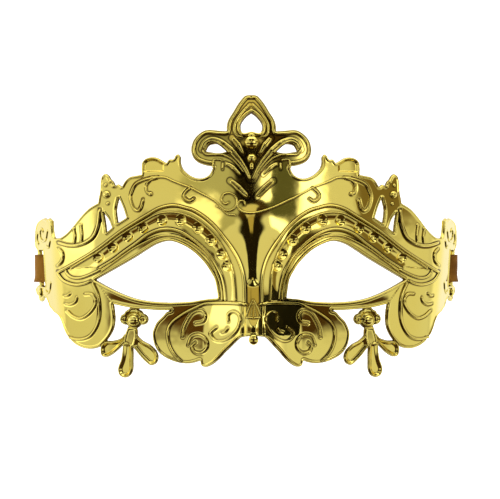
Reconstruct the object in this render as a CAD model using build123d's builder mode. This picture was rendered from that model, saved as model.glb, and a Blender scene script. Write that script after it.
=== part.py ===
"""Gold masquerade half mask: a thin curved moulding with raised ornament and two folded ribbons.

Frame: +X across the face, +Y into the face, +Z up. The origin is on the inner face of the nose
bridge. Left is the -X side. Ornament is drawn on the +X side and mirrored.
"""

import os
from math import cos, exp, log, radians, sin, sqrt

from build123d import *

# ---- Driving dimensions, millimetres ----
SHELL = 1.4                 # wall of the moulding
RELIEF = 1.1                # height of the raised ornament
BEAD_GAP = 0.02             # keeps a bead's flat foot just clear of the curved face
FACE_HALF_WIDTH = 100.0     # across semi-axis of the face curve
FACE_DEPTH = 84.0           # front-to-back semi-axis of the face curve
FACE_LEAN = 0.0018          # backward lean of brow and cheeks, per mm
CREASE_X = 85.5             # where the temple turns into the side tab, at z = 0
CREASE_SLANT = 0.11         # how far the crease moves outward per mm of height
CREASE_ROUND = 0.8          # softness of the crease
TAB_SLOPE = 3.1             # how steeply the side tabs run back
NOSE_HEIGHT = 20.0          # how far the nose stands out at its foot
NOSE_TOP = 32.0             # height where the nose starts
NOSE_RUN = 62.0             # height over which the nose grows
NOSE_NARROW = 8.5           # half width of the nose at its top
NOSE_SPREAD = 6.0           # how much wider it gets at its foot

OUTER_RAIL_WIDTH = 2.8      # widths of the raised lines
INNER_RAIL_WIDTH = 1.5
RIB_WIDTH = 1.6
SCROLL_WIDTH = 1.1
FINE_WIDTH = 0.9
HOLLOW_RADIUS = 2.4         # the ball that shapes the round hollows along the brow
HOLLOW_DEPTH = 0.75

SLOT_LOW = -7.6             # ribbon slot in the side tab
SLOT_HIGH = 8.0
SLOT_FRONT_X = 91.0         # where the slot starts, on the face curve
BAR_X = 93.6                # middle of the bar's outer face, behind the slot
BAR_WIDTH = 3.2

RIBBON_WIDTH = 12.4
RIBBON_LOW = -6.0
RIBBON_THICK = 0.7          # the wrapped layer round the bar
LOOP_INNER_RADIUS = 2.4
LOOP_NECK = 1.2             # half the loop's thickness where it meets the hank
LOOP_LEAVES = 40.0          # degrees from the hank's line where the loop stops being round
LOOP_SHORT = 2.0            # how far short of the hank the space inside the loop stops
LOOP_SLOT = 0.4             # half the width of that space there
HANK_LENGTH = 46.0
HANK_THICK = 5.0
HANK_START = 9.0            # from the bar's centre to the hank
HANK_TURN = 10.0            # degrees the hank points inward from straight back
HANK_NECK = 0.8             # how much the tie pulls the hank in
TIE_WIDTH = 6.0
TIE_THICK = 0.6

os.makedirs("parts", exist_ok=True)


# ---- The face curve ----
def nose(x, z):
    """How far the nose stands out in front of the face curve."""
    grow = min(max((NOSE_TOP - z) / NOSE_RUN, 0), 1)
    grow = grow * grow * (3 - 2 * grow)
    return NOSE_HEIGHT * grow * exp(-((x / (NOSE_NARROW + NOSE_SPREAD * grow)) ** 2))


def face_y(x, z):
    """The front face of the moulding: an elliptic face curve, side tabs past a soft crease."""
    crease = CREASE_X + CREASE_SLANT * z
    past = CREASE_ROUND * log(1 + exp((abs(x) - crease) / CREASE_ROUND))
    front = abs(x) - past
    curve = FACE_DEPTH * (1 - sqrt(1 - (front / FACE_HALF_WIDTH) ** 2))
    bridge = nose(0, 0) - SHELL
    return curve + TAB_SLOPE * past + FACE_LEAN * z * z - nose(x, z) + bridge


def face_columns():
    """Where the face is sampled across: closer together around the crease."""
    middle = [4.0 * i for i in range(19)]
    crease = [76 + 1.5 * i for i in range(12)]
    right = middle + crease + [96.0, 99.0]
    return [-x for x in reversed(right[1:])] + right


def face_sheet():
    rows = [[(x, face_y(x, z), z) for x in face_columns()] for z in range(-50, 85, 5)]
    return Face.make_surface_from_array_of_points(rows, tol=0.01, max_deg=3)


SHEET = face_sheet()

with BuildPart() as shell_layer:
    thicken(SHEET, amount=SHELL)

with BuildPart() as relief_layer:
    thicken(SHEET, amount=-RELIEF)

FRONT = Plane.XZ.offset(40)     # drawing plane in front of the mask
THROUGH = -150                  # cuts from there to behind the mask


# ---- Drawing helpers ----
def outline(*runs, mode=Mode.ADD):
    """A closed face from runs of points; each run is smooth and runs meet at corners."""
    with BuildLine() as border:
        for run in runs:
            if len(run) == 2:
                Line(*run)
            else:
                Spline(*run)
    make_face(border.edges(), mode=mode)


def flip(points):
    """The same points on the other side, in reverse, to close a symmetric outline."""
    return [(-x, z) for x, z in reversed(points)]


def band(points, width):
    """A strip of even width with blunt ends along a smooth curve through the points."""
    spine = Edge.make_spline([Vector(x, z) for x, z in points])
    steps = 3 * len(points)
    left = []
    right = []
    for i in range(steps + 1):
        middle = spine @ (i / steps)
        along = spine % (i / steps)
        side = Vector(-along.Y, along.X) * (width / 2)
        left.append(middle + side)
        right.append(middle - side)
    outline(left, [left[-1], right[-1]], right[::-1], [right[0], left[0]])


def disc(x, z, radius):
    with Locations((x, z)):
        Circle(radius)


def save(piece, name):
    piece.label = name
    export_step(piece, f"parts/{name}.step")


def save_pair(piece, name):
    """Writes the +X piece as right and its mirror image as left."""
    save(piece, f"{name}_right")
    with BuildPart() as other:
        mirror(piece, about=Plane.YZ)
    save(other.part, f"{name}_left")


# ---- Edges that neighbouring pieces share ----
def crease_point(z):
    """The cut between the front of the mask and the side tab."""
    return (CREASE_X + 0.8 + CREASE_SLANT * z, z)


BROW_OUTER = [(2.9, -14), (3, -4.3), (3.8, 0.5), (5.4, 5), (8, 9.6), (11.2, 13.9), (15, 18.7),
              (20, 23.2), (25, 26.2), (31.6, 28), (35, 28.1), (40, 26.8), (45, 24), (52.3, 19.6)]
BROW_TEMPLE = [(52.3, 19.6), (60, 14.3), (65.3, 10.3), (70, 7.2), (74.2, 4.7), (80, 1.5), (84.2, -0.8)]
EYE_TOP = [(67.2, -4.5), (60, -0.5), (50, 5.2), (45, 8.4), (40, 11.2), (35, 12.3), (30, 10.8),
           (25, 7.8), (20, 2.8), (17.7, -0.6), (15.8, -4), (14.6, -9.8), (14.3, -11.8)]
EYE_NOSE = [(14.3, -11.8), (20, -12.4), (25, -13.3), (30, -13.7), (34.5, -13.9)]
EYE_BOTTOM = [(34.5, -13.9), (40, -13.7), (45, -13.2), (50, -12.2), (55, -10.5), (60, -8.3), (67.2, -4.5)]
CUP_EDGE = [(68.2, -4.75), (72, -6.1), (75.4, -6.6), (78.8, -6), (81.8, -4.5), (83.8, -1.9)]
LID_EDGE = [(34.5, -17.4), (40, -17.3), (45, -17), (50, -16.6), (55, -15.8), (59.4, -14.8)]
CREST_FOOT = [(0, 40), (9, 47), (15.8, 47.5)]
SHOULDER = [(15.8, 47.5), (16.5, 44), (18.2, 40.8), (20.4, 39.5), (23, 39.3), (25.7, 40.2),
            (27.9, 41.8), (29.4, 43.5), (30.2, 45.9), (30.2, 48.3)]
EAR = [(31.4, 49.7), (32.7, 49.1), (33.5, 47.6), (35.3, 47.5), (36.5, 46)]
BUMP = [(36.5, 46), (40.3, 48.2), (42.8, 48.6), (45.5, 47.9), (47, 46.3), (47.2, 41.1)]


# ---- The thin wall of the mask ----
with BuildPart() as forehead_plate:
    with BuildSketch(FRONT):
        right_top = [(47.2, 41.1), (50, 40.6), (52.3, 40.1)]
        runs = [BROW_OUTER, [(52.3, 19.6), (52.3, 40.1)], right_top[::-1], BUMP[::-1], EAR[::-1],
                [(31.4, 49.7), (30.2, 48.3)], SHOULDER[::-1], [CREST_FOOT[2], CREST_FOOT[1]],
                [CREST_FOOT[1], CREST_FOOT[0]]]
        outline(*runs, *[flip(run) for run in reversed(runs)], [(-2.9, -14), (2.9, -14)])
    extrude(amount=THROUGH)
    add(shell_layer.part, mode=Mode.INTERSECT)
save(forehead_plate.part, "forehead_plate")


def eye_opening(mode=Mode.ADD):
    outline(EYE_TOP, EYE_NOSE, EYE_BOTTOM, mode=mode)


def brow_shape():
    outline(BROW_OUTER, BROW_TEMPLE, [BROW_TEMPLE[-1], CUP_EDGE[-1]], CUP_EDGE[::-1],
            [CUP_EDGE[0], EYE_TOP[0]], EYE_TOP, [(14.3, -11.8), (14.3, -14)], [(14.3, -14), (2.9, -14)])


def face_plane(x, z, lift):
    """A plane above the face at (x, z), facing out."""
    step = 0.05
    slope_x = (face_y(x + step, z) - face_y(x - step, z)) / (2 * step)
    slope_z = (face_y(x, z + step) - face_y(x, z - step)) / (2 * step)
    out = Vector(slope_x, -1, slope_z).normalized()
    return Plane(origin=Vector(x, face_y(x, z), z) + out * lift, z_dir=out)


BROW_HOLLOWS = [(66.0, 5.0), (59.6, 9.6), (53.2, 14.4), (46.7, 18.2), (38.3, 21.5), (30.4, 21.4),
                (23, 17.9), (17.4, 12.8), (12.8, 6.9), (10.7, 1.9)]

with BuildPart() as brow_band:
    with BuildSketch(FRONT):
        brow_shape()
    extrude(amount=THROUGH)
    add(shell_layer.part, mode=Mode.INTERSECT)
    for x, z in BROW_HOLLOWS:
        with Locations(face_plane(x, z, HOLLOW_RADIUS - HOLLOW_DEPTH)):
            Sphere(HOLLOW_RADIUS, mode=Mode.SUBTRACT)
save_pair(brow_band.part, "brow_band")


def lid_shape(mode=Mode.ADD):
    outline(EYE_BOTTOM, [(67.2, -4.5), (68.2, -4.75)], [(68.2, -4.75), (59.4, -14.8)], LID_EDGE[::-1],
            [(34.5, -17.4), (34.5, -13.9)], mode=mode)


with BuildPart() as lower_lid:
    with BuildSketch(FRONT):
        lid_shape()
    extrude(amount=THROUGH)
    add(shell_layer.part, mode=Mode.INTERSECT)
save_pair(lower_lid.part, "lower_lid")

FINIAL = [(58.6, 36.4), (60.6, 39.3), (61.6, 40.9), (63, 41.7), (64.6, 40.6), (65.2, 38), (65.4, 34),
          (66.3, 29)]
WING = [(66.3, 29), (70, 26.9), (75, 21.9), (78, 18.3), (80.8, 15.6), (83.5, 14), crease_point(14.2)]

with BuildPart() as temple_panel:
    with BuildSketch(FRONT):
        outline([(52.3, 40.1), (54.2, 38.6), (55.8, 36)], [(55.8, 36), (57.4, 37), (58.6, 36.4)], FINIAL,
                WING, [crease_point(14.2), crease_point(-0.8)], [crease_point(-0.8), BROW_TEMPLE[-1]],
                BROW_TEMPLE[::-1], [(52.3, 19.6), (52.3, 40.1)])
        outline([(57, 30.8), (58, 26), (57.4, 20.3)], [(57.4, 20.3), (53.9, 22.5)],
                [(53.9, 22.5), (55.2, 26.5), (57, 30.8)], mode=Mode.SUBTRACT)
        outline([(63.6, 24.5), (62.8, 20), (62.4, 16.3)], [(62.4, 16.3), (60.2, 18.2)],
                [(60.2, 18.2), (61.5, 21.5), (63.6, 24.5)], mode=Mode.SUBTRACT)
    extrude(amount=THROUGH)
    add(shell_layer.part, mode=Mode.INTERSECT)
save_pair(temple_panel.part, "temple_panel")

LOBE = [crease_point(-21.3), (83, -22.8), (81.8, -26), (80.4, -28.8), (78.5, -31.1), (76.2, -33), (71, -34.7),
        (68, -34.5), (65.2, -33.4), (63, -31.3), (60.8, -28.5), (59.2, -25), (58.7, -21.5), (59.4, -14.8)]

with BuildPart() as cheek_lobe:
    with BuildSketch(FRONT):
        outline(CUP_EDGE, [CUP_EDGE[-1], BROW_TEMPLE[-1]], [BROW_TEMPLE[-1], crease_point(-0.8)],
                [crease_point(-0.8), crease_point(-21.3)], LOBE, [(59.4, -14.8), (68.2, -4.75)])
    extrude(amount=THROUGH)
    add(shell_layer.part, mode=Mode.INTERSECT)
save_pair(cheek_lobe.part, "cheek_lobe")

NOSE_LOBE = [(34.5, -17.4), (38.1, -19.8), (40.3, -22), (42.5, -27), (41.6, -32.5), (37.9, -37.1),
             (34.9, -38.7), (31.5, -39.8), (27.4, -40.2), (22.3, -38.9)]
NOSE_FOOT = [(22.3, -38.9), (21.6, -41), (19.9, -41.5), (17.3, -40.3), (14.6, -37.8), (11.9, -34.6),
             (7.8, -30.2), (5.5, -28.2), (3.2, -27.8)]

with BuildPart() as nose_panel:
    with BuildSketch(FRONT):
        runs = [[(2.9, -14), (14.3, -14)], [(14.3, -14), (14.3, -11.8)], EYE_NOSE,
                [(34.5, -13.9), (34.5, -17.4)], NOSE_LOBE, NOSE_FOOT]
        outline(*runs, [(3.2, -27.8), (-3.2, -27.8)], *[flip(run) for run in reversed(runs)],
                [(-2.9, -14), (2.9, -14)])
    extrude(amount=THROUGH)
    add(shell_layer.part, mode=Mode.INTERSECT)
save(nose_panel.part, "nose_panel")

PETALS = [
    [(54.8, -27.9), (60, -30.7), (62.8, -30.8), (65.2, -34.5), (64.6, -37.7), (62.4, -38), (59.5, -36.5),
     (56, -33.3), (53.4, -31)],
    [(55.5, -32), (56.2, -38.5), (57.6, -43.5), (56.6, -45.8), (54.6, -46.8), (52.3, -45.9), (51, -43.8),
     (50.8, -39), (50.8, -32)],
    [(50.4, -33.5), (46.4, -38.8), (43.2, -41.2), (40.6, -40), (39.9, -37.5), (40.8, -34.8), (44, -32),
     (48.4, -28.6), (52, -29)],
]

with BuildPart() as flower_drop:
    with BuildSketch(FRONT):
        for petal in PETALS:
            outline(petal, [petal[-1], petal[0]])
        outline([(49.2, -25), (53.4, -25)], [(53.4, -25), (55, -28.6)], [(55, -28.6), (53.4, -33)],
                [(53.4, -33), (49.6, -31)], [(49.6, -31), (49.2, -25)])
        with Locations((50.6, -21.6)):
            with PolarLocations(3.3, 6, start_angle=30):
                Circle(2.6)
        disc(50.6, -21.6, 3.2)
        lid_shape(mode=Mode.SUBTRACT)
        outline(LOBE, [(59.4, -14.8), crease_point(-21.3)], mode=Mode.SUBTRACT)
    extrude(amount=THROUGH)
    add(shell_layer.part, mode=Mode.INTERSECT)
save_pair(flower_drop.part, "flower_drop")

CREST_SIDE = [(10.7, 59.6), (14, 59.8), (18, 60.2), (20.3, 59.8), (23, 58), (25, 55.5), (25.9, 52.5),
              (25.9, 50.5), (25, 48), (23, 46), (20, 44.8), (16.9, 44.4)]
HEART = [(0, 67.1), (2.2, 65.4), (4.5, 61.8), (3.7, 58.8), (0, 59.4)]
CREST_TOP = [(0, 75.3), (2.5, 75), (4.2, 73.4), (6, 71), (8, 67.6), (10, 64.3), (10.7, 61.5), (10.7, 59.6)]

with BuildPart() as crest_plate:
    with BuildSketch(FRONT):
        runs = [CREST_TOP, CREST_SIDE, [(16.9, 44.4), (15.8, 47.5)], [CREST_FOOT[2], CREST_FOOT[1]],
                [CREST_FOOT[1], CREST_FOOT[0]]]
        outline(*runs, *[flip(run) for run in reversed(runs)])
        outline(HEART, flip(HEART), mode=Mode.SUBTRACT)
        crescent = [(19.5, 50.8), (18, 53.2), (15, 53.8), (12, 53), (9.5, 51)]
        outline(crescent, [(9.5, 51), (14, 50), (19.5, 50.8)], mode=Mode.SUBTRACT)
        outline(flip(crescent), [(-19.5, 50.8), (-14, 50), (-9.5, 51)], mode=Mode.SUBTRACT)
    extrude(amount=THROUGH)
    add(shell_layer.part, mode=Mode.INTERSECT)
save(crest_plate.part, "crest_plate")


# ---- Side tabs with the ribbon slot ----
TILT = sqrt(1 + TAB_SLOPE ** 2)
BAR_CENTRE_X = BAR_X - SHELL / 2 * TAB_SLOPE / TILT
BAR_CENTRE_Y = face_y(BAR_X, 0) + SHELL / 2 / TILT
SLOT_FRONT_Y = face_y(SLOT_FRONT_X, 0)
TAB_REAR_Y = face_y(95.7, 0)
SIDE = Plane.YZ.offset(70)      # drawing plane inside the tab, its x is +Y and its y is +Z

with BuildPart() as side_tab:
    with BuildSketch(SIDE):
        front_y = face_y(82, 0)
        bar_rear = BAR_CENTRE_Y + BAR_WIDTH / 2
        outline([(front_y, 13.5), (face_y(87, 20), 14.5), (face_y(87.4, 22), 21.5)],
                [(face_y(87.4, 22), 21.5), (face_y(89.5, 22), 23), (face_y(91, 22), 21.6)],
                [(face_y(91, 22), 21.6), (face_y(93, 22), 22.4), (TAB_REAR_Y, 19)],
                [(TAB_REAR_Y, 19), (TAB_REAR_Y + 0.8, 13), (TAB_REAR_Y - 1, SLOT_HIGH + 0.6)],
                [(TAB_REAR_Y - 1, SLOT_HIGH + 0.6), (bar_rear, SLOT_HIGH)],
                [(bar_rear, SLOT_HIGH), (bar_rear, SLOT_LOW)],
                [(bar_rear, SLOT_LOW), (TAB_REAR_Y - 4, SLOT_LOW - 0.4)],
                [(TAB_REAR_Y - 4, SLOT_LOW - 0.4), (TAB_REAR_Y - 3, -11), (TAB_REAR_Y - 7, -13.4)],
                [(TAB_REAR_Y - 7, -13.4), (face_y(91, -12), -12.4), (face_y(88.5, -14), -14),
                 (face_y(87.3, -18), -18.3), (face_y(85, -20), -20), (front_y, -24)],
                [(front_y, -24), (front_y, 13.5)])
        with Locations(((SLOT_FRONT_Y + BAR_CENTRE_Y - BAR_WIDTH / 2) / 2, (SLOT_LOW + SLOT_HIGH) / 2)):
            Rectangle(BAR_CENTRE_Y - BAR_WIDTH / 2 - SLOT_FRONT_Y, SLOT_HIGH - SLOT_LOW, mode=Mode.SUBTRACT)
    extrude(amount=40)
    add(shell_layer.part, mode=Mode.INTERSECT)
    cut = Plane(origin=(*crease_point(0)[:1], 0, 0), x_dir=(0, 1, 0), z_dir=(1, 0, -CREASE_SLANT))
    split(bisect_by=cut, keep=Keep.TOP)
save_pair(side_tab.part, "side_tab")


# ---- Raised ornament ----
RIM_TOP = [(69.4, -4.8), (60, 1.6), (50, 7.6), (45, 10.8), (40, 13.5), (35, 14.3), (30, 12.9),
           (25, 9.9), (20, 5.6), (17, 1.4), (14.6, -3.6), (13, -9), (12.8, -11.8)]
RIM_LOW = [(12.8, -13.4), (20, -13.9), (25, -14.8), (30, -15.2), (40, -15.2), (45, -14.7),
           (50, -13.7), (55, -12), (60, -9.9), (69.4, -4.8)]

with BuildPart() as eye_rim:
    with BuildSketch(FRONT):
        outline(RIM_TOP, [RIM_TOP[-1], RIM_LOW[0]], RIM_LOW)
        eye_opening(mode=Mode.SUBTRACT)
    extrude(amount=THROUGH)
    add(relief_layer.part, mode=Mode.INTERSECT)
save_pair(eye_rim.part, "eye_rim")

INNER_RAIL = [(67.6, -0.6), (60, 3.9), (55, 7.6),
              (50, 11.1), (45, 14.8), (40, 16.9), (35, 17.3), (30, 16), (25, 12.9), (20, 8.6),
              (16.8, 4.9), (13.5, -1), (12, -6.5), (11.6, -12.5)]

with BuildPart() as brow_inner_rail:
    with BuildSketch(FRONT):
        band(INNER_RAIL, INNER_RAIL_WIDTH)
    extrude(amount=THROUGH)
    add(relief_layer.part, mode=Mode.INTERSECT)
save_pair(brow_inner_rail.part, "brow_inner_rail")

OUTER_RAIL = [(80.5, -0.6), (74.2, 3), (65.2, 8.9), (55.3, 16.2), (50, 19.5), (45, 22.5), (40, 25.2),
              (35, 26.4), (30, 25.8), (25, 24.2), (20, 21), (15, 16.2), (11.3, 11), (7.5, 4.5),
              (5.8, -1.5), (5.2, -7), (5, -12.6)]

with BuildPart() as brow_outer_rail:
    with BuildSketch(FRONT):
        band(OUTER_RAIL, OUTER_RAIL_WIDTH)
    extrude(amount=THROUGH)
    add(relief_layer.part, mode=Mode.INTERSECT)
save_pair(brow_outer_rail.part, "brow_outer_rail")


def bead(x, z, radius):
    """A domed bead standing on the face."""
    with Locations(face_plane(x, z, BEAD_GAP)):
        Sphere(radius, arc_size1=0, arc_size2=90, align=(Align.CENTER, Align.CENTER, Align.MIN))


with BuildPart() as crest_rim:
    with BuildSketch(FRONT):
        rim_top = [(0, 74.2), (3.4, 72.7), (7, 67.2), (9.2, 63.6), (9.8, 60.4)]
        rim_side = [(11.5, 58.9), (18, 59.3), (22.3, 57.3), (24.9, 52.5), (24, 48.6), (20.3, 45.8),
                    (17.2, 45.6)]
        band(flip(rim_top)[:-1] + rim_top, RIB_WIDTH)
        band(rim_side, RIB_WIDTH)
        band(flip(rim_side), RIB_WIDTH)
    extrude(amount=THROUGH)
    add(relief_layer.part, mode=Mode.INTERSECT)
save(crest_rim.part, "crest_rim")

with BuildPart() as crest_window_rim:
    with BuildSketch(FRONT):
        around = [(0, 68.8), (3.2, 66.2), (6, 61.9), (5.2, 57.9), (0, 58)]
        outline(around, flip(around))
        outline(HEART, flip(HEART), mode=Mode.SUBTRACT)
    extrude(amount=THROUGH)
    add(relief_layer.part, mode=Mode.INTERSECT)
save(crest_window_rim.part, "crest_window_rim")

with BuildPart() as crest_v_rib:
    with BuildSketch(FRONT):
        band([(2.2, 41.5), (6.4, 46.6), (9.6, 48.6), (15, 48.8), (21, 49)], RIB_WIDTH)
        band([(4.6, 51.2), (8.9, 55.4), (14, 56.2), (20, 56)], RIB_WIDTH)
    extrude(amount=THROUGH)
    add(relief_layer.part, mode=Mode.INTERSECT)
save_pair(crest_v_rib.part, "crest_v_rib")

with BuildPart() as crest_beads:
    bead(0, 54.2, 3.0)
    bead(0, 47.6, 1.95)
    bead(0, 44.2, 1.0)
save(crest_beads.part, "crest_beads")

# The forehead line ends in a small curl on the right and a large one on the left.
with BuildPart() as forehead_scroll_right:
    with BuildSketch(FRONT):
        band([(43.4, 39.6), (36.8, 39.4), (30, 36.5), (25.9, 34.9), (18, 30.7), (10, 27.6), (5, 26),
              (0.8, 24.8)], SCROLL_WIDTH)
        band([(0.2, 25.2), (-2.6, 25), (-5, 25.4), (-6, 27.2), (-4.6, 29), (-2.8, 28)], SCROLL_WIDTH)
    extrude(amount=THROUGH)
    add(relief_layer.part, mode=Mode.INTERSECT)
save(forehead_scroll_right.part, "forehead_scroll_right")

with BuildPart() as forehead_scroll_left:
    with BuildSketch(FRONT):
        band([(-43.4, 39.6), (-36.8, 39.4), (-30, 36.5), (-25.9, 34.9), (-18, 30.7), (-14.2, 27.9)],
             SCROLL_WIDTH)
        band([(-14, 28.4), (-13.2, 31.2), (-10.4, 32.7), (-7.4, 31.4), (-7, 28.6), (-9, 27.2),
              (-10.6, 28.6)], SCROLL_WIDTH)
    extrude(amount=THROUGH)
    add(relief_layer.part, mode=Mode.INTERSECT)
save(forehead_scroll_left.part, "forehead_scroll_left")

with BuildPart() as forehead_curl:
    with BuildSketch(FRONT):
        band([(44.6, 39.4), (46.7, 38.2), (49.5, 36.2), (51, 33), (51.2, 29), (50, 26.2), (48.3, 26.3),
              (47, 30)], SCROLL_WIDTH)
        band([(27.2, 33.6), (28.6, 31.4), (27.8, 29.7), (26.3, 29.3), (24.9, 30.4)], SCROLL_WIDTH)
    extrude(amount=THROUGH)
    add(relief_layer.part, mode=Mode.INTERSECT)
save_pair(forehead_curl.part, "forehead_curl")

with BuildPart() as temple_border:
    with BuildSketch(FRONT):
        band([(65.5, 26.5), (65.6, 20), (67.8, 14.3), (71, 11.8), (75, 10.6), (79, 10.5), (84, 11.3)],
             SCROLL_WIDTH)
        band([(73.4, 12), (73.5, 15.5), (73.4, 19)], FINE_WIDTH)
        band([(76.6, 11.5), (76.7, 14.5), (76.6, 17.5)], FINE_WIDTH)
    extrude(amount=THROUGH)
    add(relief_layer.part, mode=Mode.INTERSECT)
save_pair(temple_border.part, "temple_border")

with BuildPart() as finial_bead:
    bead(62.2, 32.5, 1.5)
save_pair(finial_bead.part, "finial_bead")

with BuildPart() as cheek_border:
    with BuildSketch(FRONT):
        band([(69.4, -7), (66.6, -12), (65.7, -17), (66, -22), (67.6, -26.5), (70, -29.2), (72.8, -30.3),
              (76.4, -30)], SCROLL_WIDTH)
    extrude(amount=THROUGH)
    add(relief_layer.part, mode=Mode.INTERSECT)
save_pair(cheek_border.part, "cheek_border")

with BuildPart() as cheek_scroll:
    with BuildSketch(FRONT):
        band([(72.2, -10.7), (69.8, -11), (68.4, -13), (69, -16.2), (71, -19.2), (74, -20.8), (77.3, -20.3),
              (80, -18)], SCROLL_WIDTH)
        band([(75.5, -12), (76, -14), (78.2, -15.3), (80.6, -15)], FINE_WIDTH)
    extrude(amount=THROUGH)
    add(relief_layer.part, mode=Mode.INTERSECT)
save_pair(cheek_scroll.part, "cheek_scroll")

with BuildPart() as nose_ridge:
    with BuildSketch(FRONT):
        band([(4, -15.2), (15, -15.8), (20, -16.2), (24.2, -17), (27.8, -18.4), (30.6, -20), (33.3, -22),
              (35, -24.6), (35.6, -28), (34.8, -32.6), (32.4, -36.8)], SCROLL_WIDTH)
    extrude(amount=THROUGH)
    add(relief_layer.part, mode=Mode.INTERSECT)
save_pair(nose_ridge.part, "nose_ridge")

with BuildPart() as nose_scroll:
    with BuildSketch(FRONT):
        band([(11, -21.3), (10.3, -18.9), (8, -18), (6.2, -19.2), (5.8, -21.8), (7, -25), (9.5, -27.6),
              (13, -29.2), (16, -28.8), (16.8, -26.8)], SCROLL_WIDTH)
        band([(24, -22.8), (21.2, -22.2), (20.4, -19.6), (22, -18.3), (25, -19.2), (27.3, -21.9), (29, -25.5),
              (29.4, -28.5)], SCROLL_WIDTH)
        disc(23, -31.5, 4.0)
        with Locations((23, -31.5)):
            Circle(3.0, mode=Mode.SUBTRACT)
    extrude(amount=THROUGH)
    add(relief_layer.part, mode=Mode.INTERSECT)
save_pair(nose_scroll.part, "nose_scroll")

with BuildPart() as flower_bead:
    bead(50.6, -21.6, 2.4)
save_pair(flower_bead.part, "flower_bead")

with BuildPart() as tab_flower:
    bead(93.2, -10.4, 2.3)
save_pair(tab_flower.part, "tab_flower")

with BuildPart() as gate_nub:
    with BuildSketch(Plane.XY.offset(-31)):
        with Locations((0, face_y(0, -27.8) + SHELL / 2 + 0.3)):
            Circle(1.9)
    extrude(amount=3.2)
save(gate_nub.part, "gate_nub")

# ---- Ribbons, folded into hanks and threaded round the bars of the side tabs ----
HANK_PLANE = Plane(origin=(BAR_CENTRE_X, BAR_CENTRE_Y, RIBBON_LOW), z_dir=(0, 0, 1),
                   x_dir=(-sin(radians(HANK_TURN)), cos(radians(HANK_TURN)), 0))


def teardrop(radius, reach, half_neck):
    """A round loop about the bar that narrows to the hank."""
    leave = radians(LOOP_LEAVES)
    top = (radius * cos(leave), radius * sin(leave))
    low = (top[0], -top[1])
    with BuildLine() as border:
        ThreePointArc(top, (-radius, 0), low)
        Line(low, (reach, -half_neck))
        Line((reach, -half_neck), (reach, half_neck))
        Line((reach, half_neck), top)
    make_face(border.edges())


with BuildPart() as ribbon_loop:
    with BuildSketch(HANK_PLANE):
        teardrop(LOOP_INNER_RADIUS + RIBBON_THICK, HANK_START, LOOP_NECK)
    extrude(amount=RIBBON_WIDTH)
    with BuildSketch(HANK_PLANE):
        teardrop(LOOP_INNER_RADIUS, HANK_START - LOOP_SHORT, LOOP_SLOT)
    extrude(amount=RIBBON_WIDTH, mode=Mode.SUBTRACT)
save_pair(ribbon_loop.part, "ribbon_loop")

with BuildPart() as ribbon_hank:
    with BuildSketch(HANK_PLANE):
        with Locations((HANK_START + HANK_LENGTH / 2, 0)):
            SlotOverall(HANK_LENGTH, HANK_THICK)
    extrude(amount=RIBBON_WIDTH)
    with BuildSketch(HANK_PLANE):
        with Locations((HANK_START + HANK_LENGTH / 2, 0)):
            Rectangle(TIE_WIDTH, HANK_THICK)
        with Locations((HANK_START + HANK_LENGTH / 2, 0)):
            Rectangle(TIE_WIDTH, HANK_THICK - HANK_NECK, mode=Mode.SUBTRACT)
    extrude(amount=RIBBON_WIDTH, mode=Mode.SUBTRACT)
save_pair(ribbon_hank.part, "ribbon_hank")

with BuildPart() as ribbon_tie:
    with BuildSketch(HANK_PLANE.offset(-TIE_THICK)):
        with Locations((HANK_START + HANK_LENGTH / 2, 0)):
            Rectangle(TIE_WIDTH, HANK_THICK - HANK_NECK + 2 * TIE_THICK)
    extrude(amount=RIBBON_WIDTH + 2 * TIE_THICK)
    with BuildSketch(HANK_PLANE):
        with Locations((HANK_START + HANK_LENGTH / 2, 0)):
            Rectangle(TIE_WIDTH, HANK_THICK - HANK_NECK)
    extrude(amount=RIBBON_WIDTH, mode=Mode.SUBTRACT)
save_pair(ribbon_tie.part, "ribbon_tie")

print("bar centre", round(BAR_CENTRE_X, 3), round(BAR_CENTRE_Y, 3))
print("slot from y", round(SLOT_FRONT_Y, 2), "tab rear y", round(TAB_REAR_Y, 2))
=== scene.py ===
"""Looks for the gold masquerade half mask: one metallised moulding with raised ornament, two ribbons.

The moulding is drawn as heights over the face curve, in millimetres, and cut into the named
pieces of the CAD frame. x runs across the face, z up; the outside faces -y.
"""

import math

import bmesh
import bpy
import numpy as np
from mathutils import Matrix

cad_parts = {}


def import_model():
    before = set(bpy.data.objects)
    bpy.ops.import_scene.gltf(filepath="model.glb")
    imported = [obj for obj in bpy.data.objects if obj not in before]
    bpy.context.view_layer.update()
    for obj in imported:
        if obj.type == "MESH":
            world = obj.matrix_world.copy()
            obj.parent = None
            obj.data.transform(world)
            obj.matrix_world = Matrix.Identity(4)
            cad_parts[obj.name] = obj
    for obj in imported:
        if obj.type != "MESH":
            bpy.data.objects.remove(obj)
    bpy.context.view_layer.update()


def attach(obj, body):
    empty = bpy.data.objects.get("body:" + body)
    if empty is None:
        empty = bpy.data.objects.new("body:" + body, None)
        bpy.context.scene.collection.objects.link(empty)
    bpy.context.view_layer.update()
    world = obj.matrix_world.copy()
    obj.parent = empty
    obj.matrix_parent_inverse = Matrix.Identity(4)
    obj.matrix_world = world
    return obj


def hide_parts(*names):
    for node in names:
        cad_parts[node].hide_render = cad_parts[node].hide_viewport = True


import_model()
MM = 0.001

# ---- The face curve, as in the CAD model ----
SHELL = 1.4
FACE_HALF_WIDTH = 100.0
FACE_DEPTH = 84.0
FACE_LEAN = 0.0018
CREASE_X = 85.5
CREASE_SLANT = 0.11
CREASE_ROUND = 0.8
TAB_SLOPE = 3.1
NOSE_HEIGHT = 20.0
NOSE_TOP = 32.0
NOSE_RUN = 62.0
NOSE_NARROW = 8.5
NOSE_SPREAD = 6.0

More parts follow.
